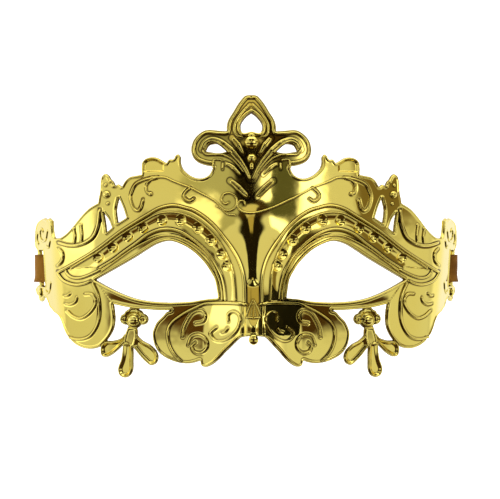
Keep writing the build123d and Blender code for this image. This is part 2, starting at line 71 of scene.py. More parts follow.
STEP = 0.25  # spacing of the mesh over the face
EDGE_ROUND = 0.65  # radius of the moulding's outer edges
BACK_ROUND = 0.45
BACK_SHARE = 0.75  # depth of the inside's hollows, as a share of the outside's
SINK = 0.25  # how far an ornament's foot goes into the wall below it
TAB_START = 86.0  # past this x, distance is counted along the tab


def smooth(value, low, high):
    """0 at low and 1 at high, with a smooth step between them."""
    t = np.clip((value - low) / (high - low), 0, 1)
    return t * t * (3 - 2 * t)


def nose(x, z):
    """How far the nose stands out of the face curve."""
    grow = smooth(NOSE_TOP - z, 0, NOSE_RUN)
    return NOSE_HEIGHT * grow * np.exp(-((x / (NOSE_NARROW + NOSE_SPREAD * grow)) ** 2))


def face_y(x, z):
    """The depth of the mask's outside, in the CAD frame."""
    crease = CREASE_X + CREASE_SLANT * z
    past = CREASE_ROUND * np.logaddexp(0, (np.abs(x) - crease) / CREASE_ROUND)
    front = np.abs(x) - past
    curve = FACE_DEPTH * (1 - np.sqrt(1 - (front / FACE_HALF_WIDTH) ** 2))
    bridge = nose(0.0, 0.0) - SHELL
    return curve + TAB_SLOPE * past + FACE_LEAN * z * z - nose(x, z) + bridge


def unit(vectors):
    return vectors / np.maximum(np.linalg.norm(vectors, axis=-1, keepdims=True), 1e-9)


def face_normal(x, z):
    """The outward unit normal of the face curve."""
    h = 0.05
    slope_x = (face_y(x + h, z) - face_y(x - h, z)) / (2 * h)
    slope_z = (face_y(x, z + h) - face_y(x, z - h)) / (2 * h)
    return unit(np.stack([slope_x, -np.ones_like(slope_x), slope_z], -1))


TAB_STRETCH = math.hypot(1, TAB_SLOPE)  # how much longer the side tab is than it looks from the front


def spread(x):
    """x along the face, with the side tabs rolled out flat."""
    past = np.abs(x) - TAB_START
    return np.where(past > 0, np.sign(x) * (TAB_START + past * TAB_STRETCH), x)


def unspread(u):
    past = np.abs(u) - TAB_START
    return np.where(past > 0, np.sign(u) * (TAB_START + past / TAB_STRETCH), u)


# ---- Drawing on the face ----
PER_SPAN = 8


def curve(points):
    """A smooth line through the points, with PER_SPAN points from each to the next."""
    p = np.array(points, float)
    if len(p) == 2:
        return p
    p = np.vstack([2 * p[0] - p[1], p, 2 * p[-1] - p[-2]])
    knots = np.concatenate([[0], np.cumsum(np.sqrt(np.linalg.norm(np.diff(p, axis=0), axis=1)))])

    def between(t, i, j, a, b):
        """From a at knot i to b at knot j."""
        return ((knots[j] - t) * a + (t - knots[i]) * b) / (knots[j] - knots[i])

    out = []
    for i in range(1, len(p) - 2):
        t = np.linspace(knots[i], knots[i + 1], PER_SPAN, endpoint=False)[:, None]
        a, b, c = (between(t, j, j + 1, p[j], p[j + 1]) for j in (i - 1, i, i + 1))
        out.append(between(t, i, i + 1, between(t, i - 1, i + 1, a, b), between(t, i, i + 2, b, c)))
    out.append(p[-2][None])
    return np.vstack(out)


def joined(*runs):
    """Smooth runs that meet at corners, as one line."""
    return np.vstack([curve(run) for run in runs])


def closed(points):
    """A smooth run closed by a straight line."""
    return joined(points, [points[-1], points[0]])


def flip(points):
    """The mirror image of the points, in the opposite order."""
    return [(-x, z) for x, z in reversed(points)]


def resample(line, gap):
    """The same line with its points evenly spaced."""
    steps = np.linalg.norm(np.diff(line, axis=0), axis=1)
    run = np.concatenate([[0], np.cumsum(steps)])
    count = max(int(round(run[-1] / gap)), 2)
    at = np.linspace(0, run[-1], count + 1)
    return np.stack([np.interp(at, run, line[:, 0]), np.interp(at, run, line[:, 1])], -1)


def sideways(line, closed=False):
    """Unit vectors to the left of the line's direction."""
    d = np.roll(line, -1, axis=0) - np.roll(line, 1, axis=0) if closed else np.gradient(line, axis=0)
    return unit(np.stack([-d[:, 1], d[:, 0]], -1))


def shifted(line, by):
    """The line moved to its left."""
    line = resample(line, 0.5)
    return line + by * sideways(line)


# ---- The drawing grid, over the right half: column 0 is the middle of the face ----
U_END, Z_LOW, Z_HIGH = 120.0, -48.6, 77.1
U_LINE = np.arange(int(round(U_END / STEP)) + 1) * STEP
Z_LINE = Z_LOW + np.arange(int(round((Z_HIGH - Z_LOW) / STEP)) + 1) * STEP
U, Z = np.meshgrid(U_LINE, Z_LINE)
FAR = 9.0  # distances are worked out only this near a line


def distance(line, reach=FAR):
    """Distance from each place on the grid to the line, no more than reach."""
    best = np.full(U.shape, reach ** 2)
    for a, b in zip(line[:-1], line[1:]):
        length = math.hypot(*(b - a))
        if length < 1e-9:
            continue
        c0 = max(int((min(a[0], b[0]) - reach) / STEP), 0)
        c1 = int((max(a[0], b[0]) + reach) / STEP) + 2
        r0 = max(int((min(a[1], b[1]) - reach - Z_LOW) / STEP), 0)
        r1 = int((max(a[1], b[1]) + reach - Z_LOW) / STEP) + 2
        if c1 <= 0:
            continue
        part = np.s_[r0:r1, c0:c1]
        du, dz = (b - a) / length
        u, z = U[part] - a[0], Z[part] - a[1]
        t = np.clip(u * du + z * dz, 0, length)
        best[part] = np.minimum(best[part], (u - t * du) ** 2 + (z - t * dz) ** 2)
    return np.sqrt(best)


def inside(loop):
    """Whether each place on the grid is inside a closed loop."""
    hit = np.zeros(U.shape, bool)
    for a, b in zip(loop, np.roll(loop, -1, axis=0)):
        low, high = (a, b) if a[1] < b[1] else (b, a)
        rows = (Z_LINE > low[1]) & (Z_LINE <= high[1])
        if rows.any():
            at = low[0] + (Z_LINE[rows] - low[1]) * (high[0] - low[0]) / (high[1] - low[1])
            hit[rows] ^= U_LINE[None] < at[:, None]
    return hit


def depth_inside(loop):
    """Distance in from the loop, negative outside it."""
    d = distance(np.vstack([loop, loop[:1]]))
    return np.where(inside(loop), d, -d)


# ---- Outlines (right half, +x) ----
EYE_TOP = [
    (67.2, -4.5), (60, -0.5), (50, 5.2), (45, 8.4), (40, 11.2), (35, 12.3), (30, 10.8), (25, 7.8),
    (20, 2.8), (17.7, -0.6), (15.8, -4), (14.6, -9.8), (14.3, -11.8)
]
EYE_NOSE = [(14.3, -11.8), (20, -12.4), (25, -13.3), (30, -13.7), (34.5, -13.9)]
EYE_BOTTOM = [(34.5, -13.9), (40, -13.7), (45, -13.2), (50, -12.2), (55, -10.5), (60, -8.3), (67.2, -4.5)]
CUP_EDGE = [(68.2, -4.75), (72, -6.1), (75.4, -6.6), (78.8, -6), (81.8, -4.5), (83.8, -1.9)]
LID_EDGE = [(34.5, -17.4), (40, -17.3), (45, -17), (50, -16.6), (55, -15.8), (59.4, -14.8)]
SHOULDER = [
    (15.8, 47.5), (16.5, 44), (18.2, 40.8), (20.4, 39.5), (23, 39.3), (25.7, 40.2), (27.9, 41.8),
    (29.4, 43.5), (30.2, 45.9), (30.2, 48.3)
]
EAR_TIP = [(30.2, 48.3), (31.4, 49.7), (32.7, 49.1)]
EAR = [(32.7, 49.1), (33.5, 47.6), (35.3, 47.5), (36.5, 46)]
BUMP = [
    (36.5, 46), (38.2, 47), (40.3, 48.2), (42.8, 48.6), (45.5, 47.9), (47, 46.3), (47.3, 44), (47.2, 41.1)
]
PLATE_TOP = [(47.2, 41.1), (50, 40.6), (52.3, 40.1), (54.2, 38.6), (55.8, 36)]
FINIAL = [
    (58.6, 36.4), (59.5, 38.2), (60.6, 39.3), (61.6, 40.9), (63, 41.7), (64.6, 40.6), (65.2, 38),
    (65.4, 34), (66, 31), (66.3, 29)
]
WING = [
    (66.3, 29), (70, 26.9), (72.4, 24.8), (75, 21.9), (78, 18.3), (80.8, 15.6), (83.5, 14), (85.8, 13.9),
    (88, 15.2), (89.6, 18), (90.2, 21.5)
]
LOBE = [
    (90.5, -18.1), (84.6, -20.4), (83, -22.8), (81.8, -26), (80.4, -28.8), (78.5, -31.1), (76.2, -33),
    (73.5, -34.2), (71, -34.7), (68, -34.5), (65.2, -33.4), (63, -31.3), (60.8, -28.5), (59.2, -25),
    (58.7, -21.5), (58.9, -18), (59.4, -14.8)
]
NOSE_LOBE = [
    (34.5, -17.4), (36.4, -18), (38.1, -19.8), (40.3, -22), (41.6, -24.2), (42.5, -27), (42.4, -29.5),
    (41.6, -32.5), (40, -35.2), (37.9, -37.1), (34.9, -38.7), (31.5, -39.8), (27.4, -40.2), (24.5, -39.7),
    (22.3, -38.9)
]
NOSE_FOOT = [
    (22.3, -38.9), (21.6, -41), (19.9, -41.5), (17.3, -40.3), (14.6, -37.8), (11.9, -34.6), (9.6, -32.2),
    (7.8, -30.2), (5.5, -28.2), (3.2, -27.8), (0, -27.6), (-3.2, -27.8)
]
CREST_TOP = [
    (-2.5, 75), (0, 75.3), (2.5, 75), (4.2, 73.4), (6, 71), (8, 67.6), (10, 64.3), (10.7, 61.5),
    (10.7, 59.6)
]
CREST_SIDE = [
    (10.7, 59.6), (14, 59.8), (18, 60.2), (20.3, 59.8), (23, 58), (25, 55.5), (25.9, 52.5), (25.9, 50.5),
    (25, 48), (23, 46), (20, 44.8), (16.7, 44.2)
]
HEART = [(0, 67.1), (2.4, 65.2), (4.5, 61.8), (3.7, 58.8), (0, 59.4)]
CRESCENT = [(19.5, 50.8), (18, 53.2), (15, 53.8), (12, 53), (9.5, 51)]
CRESCENT_FOOT = [(9.5, 51), (14, 50.1), (19.5, 50.8)]
PETALS = [
    [(53.4, -26.8), (54.8, -27.9), (56.4, -29.6), (60, -30.7), (62.8, -30.9), (64.6, -32.4), (65.3, -34.6),
     (64.6, -37.6), (62.4, -38), (59.5, -36.5), (56, -33.3), (53.4, -30.6)],
    [(55.4, -31.5), (55.6, -34.5), (56.2, -38.5), (57.6, -43), (56.8, -45.8), (54.6, -46.8), (52.3, -45.9),
     (51, -43.4), (50.8, -39), (50.8, -34), (51.2, -31)],
    [(51.2, -33), (48.5, -36.5), (46.4, -38.8), (43.2, -41.2), (40.8, -40.2), (39.9, -37.5), (40.8, -34.8),
     (43.4, -32.2), (46.7, -30.4), (48.9, -28.2), (49.4, -26)],
]
STEM = [(49.2, -24.5), (48.9, -28.2), (50.4, -33.2), (51.8, -33.6), (54.8, -31.6), (54.4, -28), (53.2, -24.5)]
FLOWER_HEAD = (50.6, -21.8)

# The side tab, rolled out: u runs back from the temple crease.
SLOT_LOW, SLOT_HIGH = -7.6, 8.0
SLOT_FRONT = float(spread(91.0))
BAR_MIDDLE = float(spread(93.6))
BAR_WIDTH = 3.3
TAB_REAR = float(spread(95.7))


def upright(u, z):
    """The place at height z straight above or below (u, 0), at the same depth behind the face."""
    x = unspread(u)
    return float(spread(x + (face_y(x, 0) - face_y(x, z)) / TAB_SLOPE)), z


BAR_REAR_HIGH = upright(BAR_MIDDLE + BAR_WIDTH / 2, SLOT_HIGH)
BAR_REAR_LOW = upright(BAR_MIDDLE + BAR_WIDTH / 2, SLOT_LOW)
TAB_TOP = [(90.2, 21.5), (94.5, 22.7), (98, 22.2)]
TAB_TOP_2 = [(98, 22.2), (103, 22.8), (110, 22), (114.5, 20.6), (TAB_REAR, 17.5)]
TAB_BACK = [(TAB_REAR, 17.5), (TAB_REAR + 0.6, 12), (TAB_REAR - 0.4, 9.4), (BAR_MIDDLE + 4, 8.3)]
TAB_STEP = [(BAR_MIDDLE + 4, 8.3), BAR_REAR_HIGH]
TAB_BAR = [BAR_REAR_HIGH, BAR_REAR_LOW]
TAB_FOOT = [BAR_REAR_LOW, (115.5, -7.7), (117.2, -9.6), (115.6, -12), (112.6, -12.8)]
TAB_LOWER = [
    (112.6, -12.8), (110.4, -15), (107.4, -14.6), (104.6, -13), (99.5, -13.4), (96, -15.4), (93.4, -17.4),
    (90.5, -18.1)
]


EYE = joined(EYE_TOP, EYE_NOSE, EYE_BOTTOM)
HEART_LOOP = joined(HEART, flip(HEART))


def outer_outline():
    runs = [CREST_TOP, CREST_SIDE, [CREST_SIDE[-1], (16.5, 44)], SHOULDER[1:], EAR_TIP, EAR, BUMP, PLATE_TOP,
            [(55.8, 36), (57.4, 37), (58.6, 36.4)], FINIAL, WING, TAB_TOP, TAB_TOP_2, TAB_BACK, TAB_STEP,
            TAB_BAR, TAB_FOOT, TAB_LOWER, LOBE, LID_EDGE[::-1], NOSE_LOBE, NOSE_FOOT]
    return joined(*runs)


def openings():
    front, rear = SLOT_FRONT, BAR_MIDDLE - BAR_WIDTH / 2
    corners = (front, SLOT_LOW), (front, SLOT_HIGH), (rear, SLOT_HIGH), (rear, SLOT_LOW)
    slot = [upright(u, z) for u, z in corners]
    return [
        EYE,
        HEART_LOOP,
        joined(CRESCENT, CRESCENT_FOOT),
        joined([(57, 30.8), (58, 26), (57.4, 20.3)], [(57.4, 20.3), (53.9, 22.5)],
               [(53.9, 22.5), (55.2, 26.5), (57, 30.8)]),
        joined([(63.6, 24.5), (62.8, 20), (62.4, 16.3)], [(62.4, 16.3), (60.2, 18.2)],
               [(60.2, 18.2), (61.5, 21.5), (63.6, 24.5)]),
        joined(*([slot[k], slot[(k + 1) % 4]] for k in range(4))),
    ]


# Of each round petal: direction in degrees, distance from the middle of the head, and radius.
FLOWER_LOBES = [(0, 0, 3.6), (8, 3.6, 2.5), (172, 3.9, 2.5), (90, 3.2, 2.8), (50, 3.2, 2.2), (130, 3.2, 2.2)]


def outline_depth():
    """Distance in from the moulding's edge, everywhere on the grid."""
    depth = depth_inside(outer_outline())
    for part in PETALS + [STEM]:
        depth = np.maximum(depth, depth_inside(closed(part)))
    for degrees, reach, radius in FLOWER_LOBES:
        cx = FLOWER_HEAD[0] + reach * math.cos(math.radians(degrees))
        cz = FLOWER_HEAD[1] + reach * math.sin(math.radians(degrees))
        depth = np.maximum(depth, radius - np.hypot(U - cx, Z - cz))
    for hole in openings():
        depth = np.minimum(depth, -depth_inside(hole))
    return depth


# ---- Lines of the ornament ----
RIM_TOP = [
    (64.5, -1.2), (57, 4.2), (50, 9), (45, 11.7), (40, 13.9), (35, 14.4), (30, 13.3), (25, 10.6), (20, 6.4),
    (17, 2), (15, -2.5), (13.6, -7), (13.2, -13)
]
INNER_RAIL = [
    (66, 1.2), (60, 4.8), (55, 8.5), (50, 12), (45, 15.7), (40, 17.8), (35, 18.2), (30, 16.9), (25, 13.8),
    (20, 9.5), (16.8, 5.8), (14.3, 1.8), (12.4, -2.2), (11.4, -6.5), (10.9, -13)
]
MID_RAIL = [
    (78.3, 0.3), (74.2, 2.8), (65, 8.3), (60, 12.0), (55.3, 15.4), (50, 18.6), (45, 21.4), (40, 23.9),
    (35, 24.6), (30, 24), (25, 22), (20, 18.6), (15, 13.5), (11.7, 8.5), (9.6, 3.7), (8, -1.7), (7.5, -6.5),
    (7.2, -13)
]
OUTER_RAIL = [
    (84.2, -0.8), (80, 1.5), (74.2, 4.7), (70, 7.2), (65.3, 10.3), (60, 14.3), (55.3, 17.7), (50, 21),
    (45, 24), (40, 26.8), (35, 28.1), (31.6, 28), (28.4, 27.2), (25, 26.2), (20, 23.2), (15, 18.7),
    (11.2, 13.9), (8, 9.6), (5.4, 5), (3.8, 0.5), (3, -4.3), (2.9, -14)
]
CUP_LINE = [
    (80.5, -0.2), (79.3, -2.3), (77.2, -3.5), (74.3, -3.7), (71.4, -3), (67.6, -1.4), (63, 1), (60, 3.2)
]
BROW_HOLLOWS = [
    (66.0, 5.2), (59.6, 9.6), (53.1, 14.2), (46.5, 17.9), (38.3, 21.1), (30.4, 21.1), (23, 17.8),
    (17.4, 12.6), (12.9, 6.9), (10.6, 1.9)
]
CUP_RAIL = [(84.2, -0.8)] + CUP_EDGE[:0:-1] + [(69.2, -5)]
NOSE_RIDGE = [
    (2.8, -14.2), (8, -13.9), (15, -14), (20, -14.4), (24.2, -16.2), (27.8, -18), (30.6, -19.8),
    (33.3, -21.9), (34.9, -24), (35.7, -26.7), (35.7, -29), (35.2, -31.6), (34.1, -34.3), (32.2, -37),
    (30.3, -38.8)
]

# For each node: line, width, height; then, unless (1, 1) and 0, the width at the two ends as shares of the
# middle and the groove along the back as a share of the height.
RIBS = {
    "crest_v_rib": [
        ([(0.6, 38.6), (3.3, 44), (7.7, 49.7), (11.2, 53), (14.2, 55), (17, 55.6), (19.8, 54.2),
         (21, 51.6)], 3.3, 1.5, (0.35, 0.6), 0.3),
        ([(20.9, 51), (19.6, 49.4), (16.5, 49.2), (12.4, 49), (8.9, 47.6), (6, 45),
         (3.4, 41.6)], 1.1, 0.7, (0.8, 0.6)),
        ([(8.3, 56.4), (6.9, 54.6), (5.2, 52.4), (3.6, 49.6)], 2.9, 1.4, (0.75, 0.3), 0.2),
        ([(11.2, 45.4), (9.2, 44.5), (7.1, 42.8), (4.9, 40.6)], 2.1, 1.0, (0.7, 0.45)),
        ([(12.3, 45.8), (12.4, 42.9)], 1.1, 0.7),
        ([(16.4, 43.2), (16, 46.8), (12.8, 46.9)], 1.0, 0.6),
        ([(9.2, 38), (6, 35.2), (2, 31.2)], 2.9, 1.2, (0.8, 0.8), 0.35),
        ([(0.6, 70.9), (3.6, 67.6), (6.1, 64), (7.2, 61.2), (6.9, 58.4), (5.3, 56.9),
         (3.6, 57.2)], 1.8, 1.0, (0.6, 0.5)),
    ],
    "forehead_curl": [
        ([(26.1, 34.9), (28, 33.3), (28.9, 31.7), (28, 30), (26.3, 29.3), (24.7, 30.3)], 0.9, 0.6),
        ([(40, 39.5), (43.5, 39.1), (46.7, 38.2), (49.5, 36.7), (51.1, 34), (51.8, 31.2), (51.2, 28.3),
         (50, 25.9), (48.5, 25.2), (47.4, 26.3), (46.3, 30)], 0.95, 0.6),
        ([(40.8, 39.3), (43.4, 38.2), (44.8, 36.5), (45, 34.7), (44.3, 33), (43.1, 32.5)], 0.85, 0.55),
    ],
    "nose_ridge": [
        ([(0.2, -12), (1.2, -13.8), (2.3, -16.4), (3.1, -19.4)], 0.6, 0.35, (0.6, 1)),
        ([(0.15, -13.4), (0.7, -16), (1.0, -19.4)], 0.5, 0.3, (0.6, 1)),
        ([(0, -19.9), (3.2, -19.7)], 0.6, 0.35),
    ],
    "temple_border": [
        ([(65.2, 26), (66, 19), (68, 14.3), (71, 12), (75, 10.6), (79, 10.5), (84, 11.8)], 1.3, 0.75),
        ([(73.4, 11.3), (73.2, 15), (73.6, 19)], 0.8, 0.5),
        ([(76.6, 11.2), (76.3, 14.5), (76.8, 17.5)], 0.8, 0.5),
        ([(83.8, 9.2), (82, 7), (82.3, 3.5), (84.5, 1.5)], 1.0, 0.6),
    ],
    "cheek_border": [
        ([(68.4, -5.6), (66.2, -10.4), (65.3, -16), (65.7, -22), (67.3, -26), (69.7, -29), (72.6, -30.3),
         (76, -30.4), (79, -29.8)], 1.0, 0.6),
    ],
    "cheek_scroll": [
        ([(71.6, -10.5), (69, -10.5), (67.2, -12.5), (67, -14.5), (68.4, -17.3), (70.8, -19.8),
         (73.8, -21.3), (77.3, -20.3), (80, -18)], 0.95, 0.6),
        ([(75.5, -12), (76, -14), (78.2, -15.3), (80.6, -15)], 0.9, 0.55),
        ([(78.5, -10.5), (79.6, -11.4), (81, -11.5)], 0.9, 0.55),
    ],
    "nose_scroll": [
        ([(10.4, -21.8), (10.3, -18.6), (8, -17.3), (6, -18.5), (5.5, -21), (6.8, -25), (9.5, -28),
         (13, -29.8), (16, -29.4), (17.6, -26.8), (15.2, -24.2)], 0.9, 0.6),
        ([(10.6, -24.3), (11.6, -25.8), (13, -26.4)], 0.85, 0.55),
        ([(24, -22.8), (20.6, -21.8), (19.9, -19), (21.6, -17.3), (25, -18.3), (27.3, -21.4), (29, -25.5),
         (29.4, -28.5)], 0.9, 0.6),
        ([(27, -31.8), (25.5, -28.4), (22, -27.6), (19.4, -29.8), (19.2, -33), (21.4, -35.2), (24.3, -34.8),
         (25.4, -32.6), (24, -31)], 0.9, 0.6),
    ],
    "tab_flower": [
        ([(96.5, 17), (99, 13.5), (104, 12.4), (108.5, 14), (109, 17), (106, 18), (104, 16.4)], 0.9, 0.45),
        ([(92.2, 12.6), (94.6, 9.6), (98, 10.2)], 0.95, 0.5),
        ([(91.5, -6), (93, -9), (97, -10.8), (100, -9.6)], 0.9, 0.45),
        ([(112, 11), (114.5, 13), (113.8, 16)], 0.9, 0.45),
    ],
}
FOREHEAD_STEM = [
    (43.4, 39.6), (40, 39.6), (36.8, 39.4), (33.7, 38), (30, 36.5), (25.9, 34.9), (22, 32.8), (18, 30.7)
]
FOREHEAD_LEFT = [  # line, width, height
    (FOREHEAD_STEM + [(15.2, 28.8), (13.6, 27.2), (11.4, 25.4), (8.6, 25.4), (6.6, 27.6), (6.7, 30.8),
                      (9.2, 32.6), (12, 32), (12.9, 29.6), (11.2, 28), (9.8, 28.8)], 0.9, 0.6),
    ([(15, 27.2), (13, 26), (10.3, 23.7), (7, 23.2)], 0.8, 0.5),
]
FOREHEAD_RIGHT = [
    (FOREHEAD_STEM + [(15.5, 29.6), (10, 27), (5, 25.2), (0.8, 24.2), (-2.6, 24.3), (-5.2, 25.6),
                      (-6.2, 27.6), (-5, 29.3), (-3.2, 29), (-2.9, 27.5)], 0.9, 0.6),
]
DOTS = [  # node, centre, radius, height
    ("forehead_curl", (43.1, 32.5), 0.9, 0.7), ("temple_border", (73.6, 19.4), 0.8, 0.6),
    ("temple_border", (76.8, 17.9), 0.8, 0.6), ("finial_bead", (62.2, 32.5), 1.6, 1.2),
    ("finial_bead", (62.6, 36.6), 0.75, 0.5), ("finial_bead", (61.6, 28.6), 0.75, 0.5),
    ("finial_bead", (60.6, 38.0), 0.7, 0.5), ("finial_bead", (59.2, 36.0), 0.7, 0.5),
]
CREST_BEADS = [  # centre, radius across, radius up, height
    ((0, 54.5), 3.1, 2.9, 2.1), ((0, 57.3), 1.8, 1.3, 1.6), ((0, 47.6), 1.95, 1.95, 1.5),
    ((0, 44.2), 0.9, 1.6, 0.7)
]


# ---- Heights of the wall under the ornament ----
def trough(line_a, line_b, drop):
    """A channel between two lines, deepest half way."""
    a, b = distance(curve(line_a)), distance(curve(line_b))
    return -drop * np.sin(np.pi * a / np.maximum(a + b, 1e-6))


def band_between(line_a, line_b):
    """Whether each place is between two lines that run the same way."""
    return inside(np.vstack([curve(line_a), curve(line_b)[::-1]]))


def sunk(depth, rim, drop, soft):
    """A hollow that starts a rim's width in from an edge."""
    return -drop * smooth(depth, rim, rim + soft)


FACET_HALF = 3.3  # the nose's flat front: half its width, its top, and where its slope changes
FACET_TOP, FACET_BEND = -6.0, -21.0
FACET_SLOPE, FOOT_SLOPE = 0.36, 0.27
FACET_LEAN = 0.93  # height along the normal for a step along y
FACET_LOW, FACET_HIGH = -1.3, 0.6
FACET_SOFT = 0.35
GROOVE_AWAY, GROOVE_HALF, GROOVE_DROP = 0.9, 0.75, 0.9


def nose_front():
    """The flat front of the nose, with a groove down each side of it."""
    edge_y = face_y(FACET_HALF, FACET_TOP)
    low_y = edge_y - FACET_SLOPE * (FACET_TOP - FACET_BEND)
    target = np.where(Z > FACET_BEND, edge_y - FACET_SLOPE * (FACET_TOP - Z),
                      low_y - FOOT_SLOPE * (FACET_BEND - Z))
    flat = (face_y(U, Z) - target) * FACET_LEAN
    share = 1 - smooth(U, FACET_HALF - FACET_SOFT, FACET_HALF + FACET_SOFT)
    share *= smooth(Z, FACET_TOP + 3, FACET_TOP - 1)
    groove = np.exp(-((U - FACET_HALF - GROOVE_AWAY) / GROOVE_HALF) ** 2)
    groove *= smooth(Z, FACET_TOP + 7, FACET_TOP + 1)
    return np.clip(flat, FACET_LOW, FACET_HIGH) * share - GROOVE_DROP * groove * (1 - share)


HOLLOW_RADIUS, HOLLOW_DEPTH = 2.35, 1.05  # of the round hollows in the brow
PETAL_SUNK = (0.8, 0.9, 1.2)  # rim's width, drop and softness
BUMP_SUNK = (0.9, 0.7, 0.8)
FLOWER_RING, FLOWER_RING_HALF, FLOWER_RING_DROP = 3.0, 0.5, 0.6
OUTLINED = ("forehead_curl", "temple_border", "cheek_border", "cheek_scroll", "nose_scroll", "tab_flower")
OUTLINE_AWAY, OUTLINE_HALF, OUTLINE_DROP = 0.12, 0.28, 0.16
LIP_IN, LIP_HALF, LIP = 0.75, 0.38, 0.35  # the rolled lip along every edge
CHEEK_LINE = [
    (79.6, -29.6), (76, -30.4), (72.6, -30.3), (69.7, -29), (67.3, -26), (65.7, -22), (65.3, -16)
]


TROUGHS = [  # between these lines, and how deep; the cheek's bulges out
    (RIM_TOP, INNER_RAIL, 0.9), (INNER_RAIL, MID_RAIL, 0.45), (MID_RAIL, OUTER_RAIL, 0.2),
    (LID_EDGE, EYE_BOTTOM, 0.15), (CHEEK_LINE, LOBE[3:], -0.6)
]


def wall_heights(depth):
    """Height of the wall above the face curve, before the ribs and beads."""
    height = nose_front()
    for low, high, drop in TROUGHS:
        height = np.where(band_between(low, high), trough(low, high, drop), height)
    for petal in PETALS:
        height = np.minimum(height, sunk(depth_inside(closed(petal)), *PETAL_SUNK))
    bump = joined(BUMP, [BUMP[-1], (42, 41), (36.5, 41.2)], [(36.5, 41.2), BUMP[0]])
    height = np.minimum(height, sunk(depth_inside(bump), *BUMP_SUNK))
    head = np.hypot(U - FLOWER_HEAD[0], Z - FLOWER_HEAD[1])
    height = np.minimum(height, -FLOWER_RING_DROP * np.exp(-((head - FLOWER_RING) / FLOWER_RING_HALF) ** 2))
    for cx, cz in BROW_HOLLOWS:
        away = np.hypot(U - cx, Z - cz)
        height = height - HOLLOW_DEPTH * np.clip(1 - (away / HOLLOW_RADIUS) ** 2, 0, 1)
    for node in OUTLINED:
        for line, width, *_ in RIBS[node]:
            away = distance(resample(curve(line), 0.5), 3.0) - width / 2 - OUTLINE_AWAY
            height = height - OUTLINE_DROP * np.exp(-(away / OUTLINE_HALF) ** 2)
    return height + LIP * np.exp(-((depth - LIP_IN) / LIP_HALF) ** 2)


WALL_NAMES = ["forehead_plate", "crest_plate", "nose_panel", "brow_band", "lower_lid", "temple_panel",
              "cheek_lobe", "flower_drop", "side_tab"]
MIDDLE = {"forehead_plate", "crest_plate", "nose_panel"}


def pieces_of_wall():
    """Each place's number in WALL_NAMES; later lines win over earlier ones."""
    label = np.zeros(U.shape, int)  # forehead_plate
    label[(U < 17) & (Z > 31 + 0.8 * U)] = 1  # crest_plate
    label[(Z > 43.5) & (U < 29)] = 1
    label[(Z < -13.2) & (U < 34.5)] = 2  # nose_panel
    label[(U < 3.4) & (Z < 4)] = 2
    brow = np.vstack([curve(OUTER_RAIL), [(2.9, -60), (14, -60), (14.3, -11.8)], curve(EYE_TOP)[::-1],
                      curve(CUP_EDGE)])
    label[inside(brow) & (Z > -13.2)] = 3  # brow_band
    label[(U >= 34.5) & (U < 61.5) & (Z < -6) & (Z > -19)] = 4  # lower_lid
    label[(U > 49) & (label == 0)] = 5  # temple_panel
    label[(Z < 60 - U) & (U > 57.5) & (Z < -3) & (label != 3) & (label != 4)] = 6  # cheek_lobe
    label[(U > 60) & (Z < -2) & (label == 5)] = 6
    drop = (np.hypot(U - FLOWER_HEAD[0], Z - FLOWER_HEAD[1]) < 6.6) & (Z < -18.2)
    drop |= (Z < -24) & (U > 39.5) & (U < 59.0 + 0.2 * (-Z - 24))
    drop |= inside(closed(PETALS[0])) | inside(closed(PETALS[2])) & (U > 42.3)
    label[drop] = 7  # flower_drop
    label[U > spread(CREASE_X + 0.8) + CREASE_SLANT * Z] = 8  # side_tab
    return label


# ---- Placing things on the face ----
depth = outline_depth()
height = wall_heights(depth)


def on_grid(grid, u, z):
    """A grid's value at any place, blended between its nearest four nodes."""
    c = np.clip(np.abs(u) / STEP, 0, len(U_LINE) - 1.001)
    r = np.clip((z - Z_LOW) / STEP, 0, len(Z_LINE) - 1.001)
    c0, r0 = c.astype(int), r.astype(int)
    fc, fr = c - c0, r - r0
    return ((grid[r0, c0] * (1 - fc) + grid[r0, c0 + 1] * fc) * (1 - fr)
            + (grid[r0 + 1, c0] * (1 - fc) + grid[r0 + 1, c0 + 1] * fc) * fr)


def place(u, z, up):
    """Points on the face, raised by up along its normal, in millimetres."""
    x = unspread(u)
    return np.stack([x, face_y(x, z), z], -1) + face_normal(x, z) * np.asarray(up)[..., None]


def linked(name, data):
    """A new object in the scene."""
    made = bpy.data.objects.new(name, data)
    bpy.context.scene.collection.objects.link(made)
    return made


def new_piece(name, points, faces, node, normals=None, body="mask", slot="gold", painted_shade=None):
    """A piece of the visual model; the last argument is the painted shade of each point, how dark it is
    painted from 0 to 1.
    """
    mesh = bpy.data.meshes.new(name)
    mesh.from_pydata((points * MM).tolist(), [], faces)
    mesh.update()
    mesh.polygons.foreach_set("use_smooth", np.ones(len(mesh.polygons), bool))
    if normals is not None:
        mesh.normals_split_custom_set_from_vertices(normals.tolist())
    # The painted shade goes on the mesh as a point attribute
    if painted_shade is not None:
        mesh.attributes.new("painted_shade", "FLOAT", "POINT").data.foreach_set("value", painted_shade.astype(np.float32))
    piece = linked(name, mesh)
    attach(piece, body)
    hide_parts(node)
    mesh.materials.append(MATERIALS[slot])
    return piece


# ---- The wall ----
CORNERS = np.array([(0, 0), (0, 1), (1, 1), (1, 0)])  # row, column steps round one cell


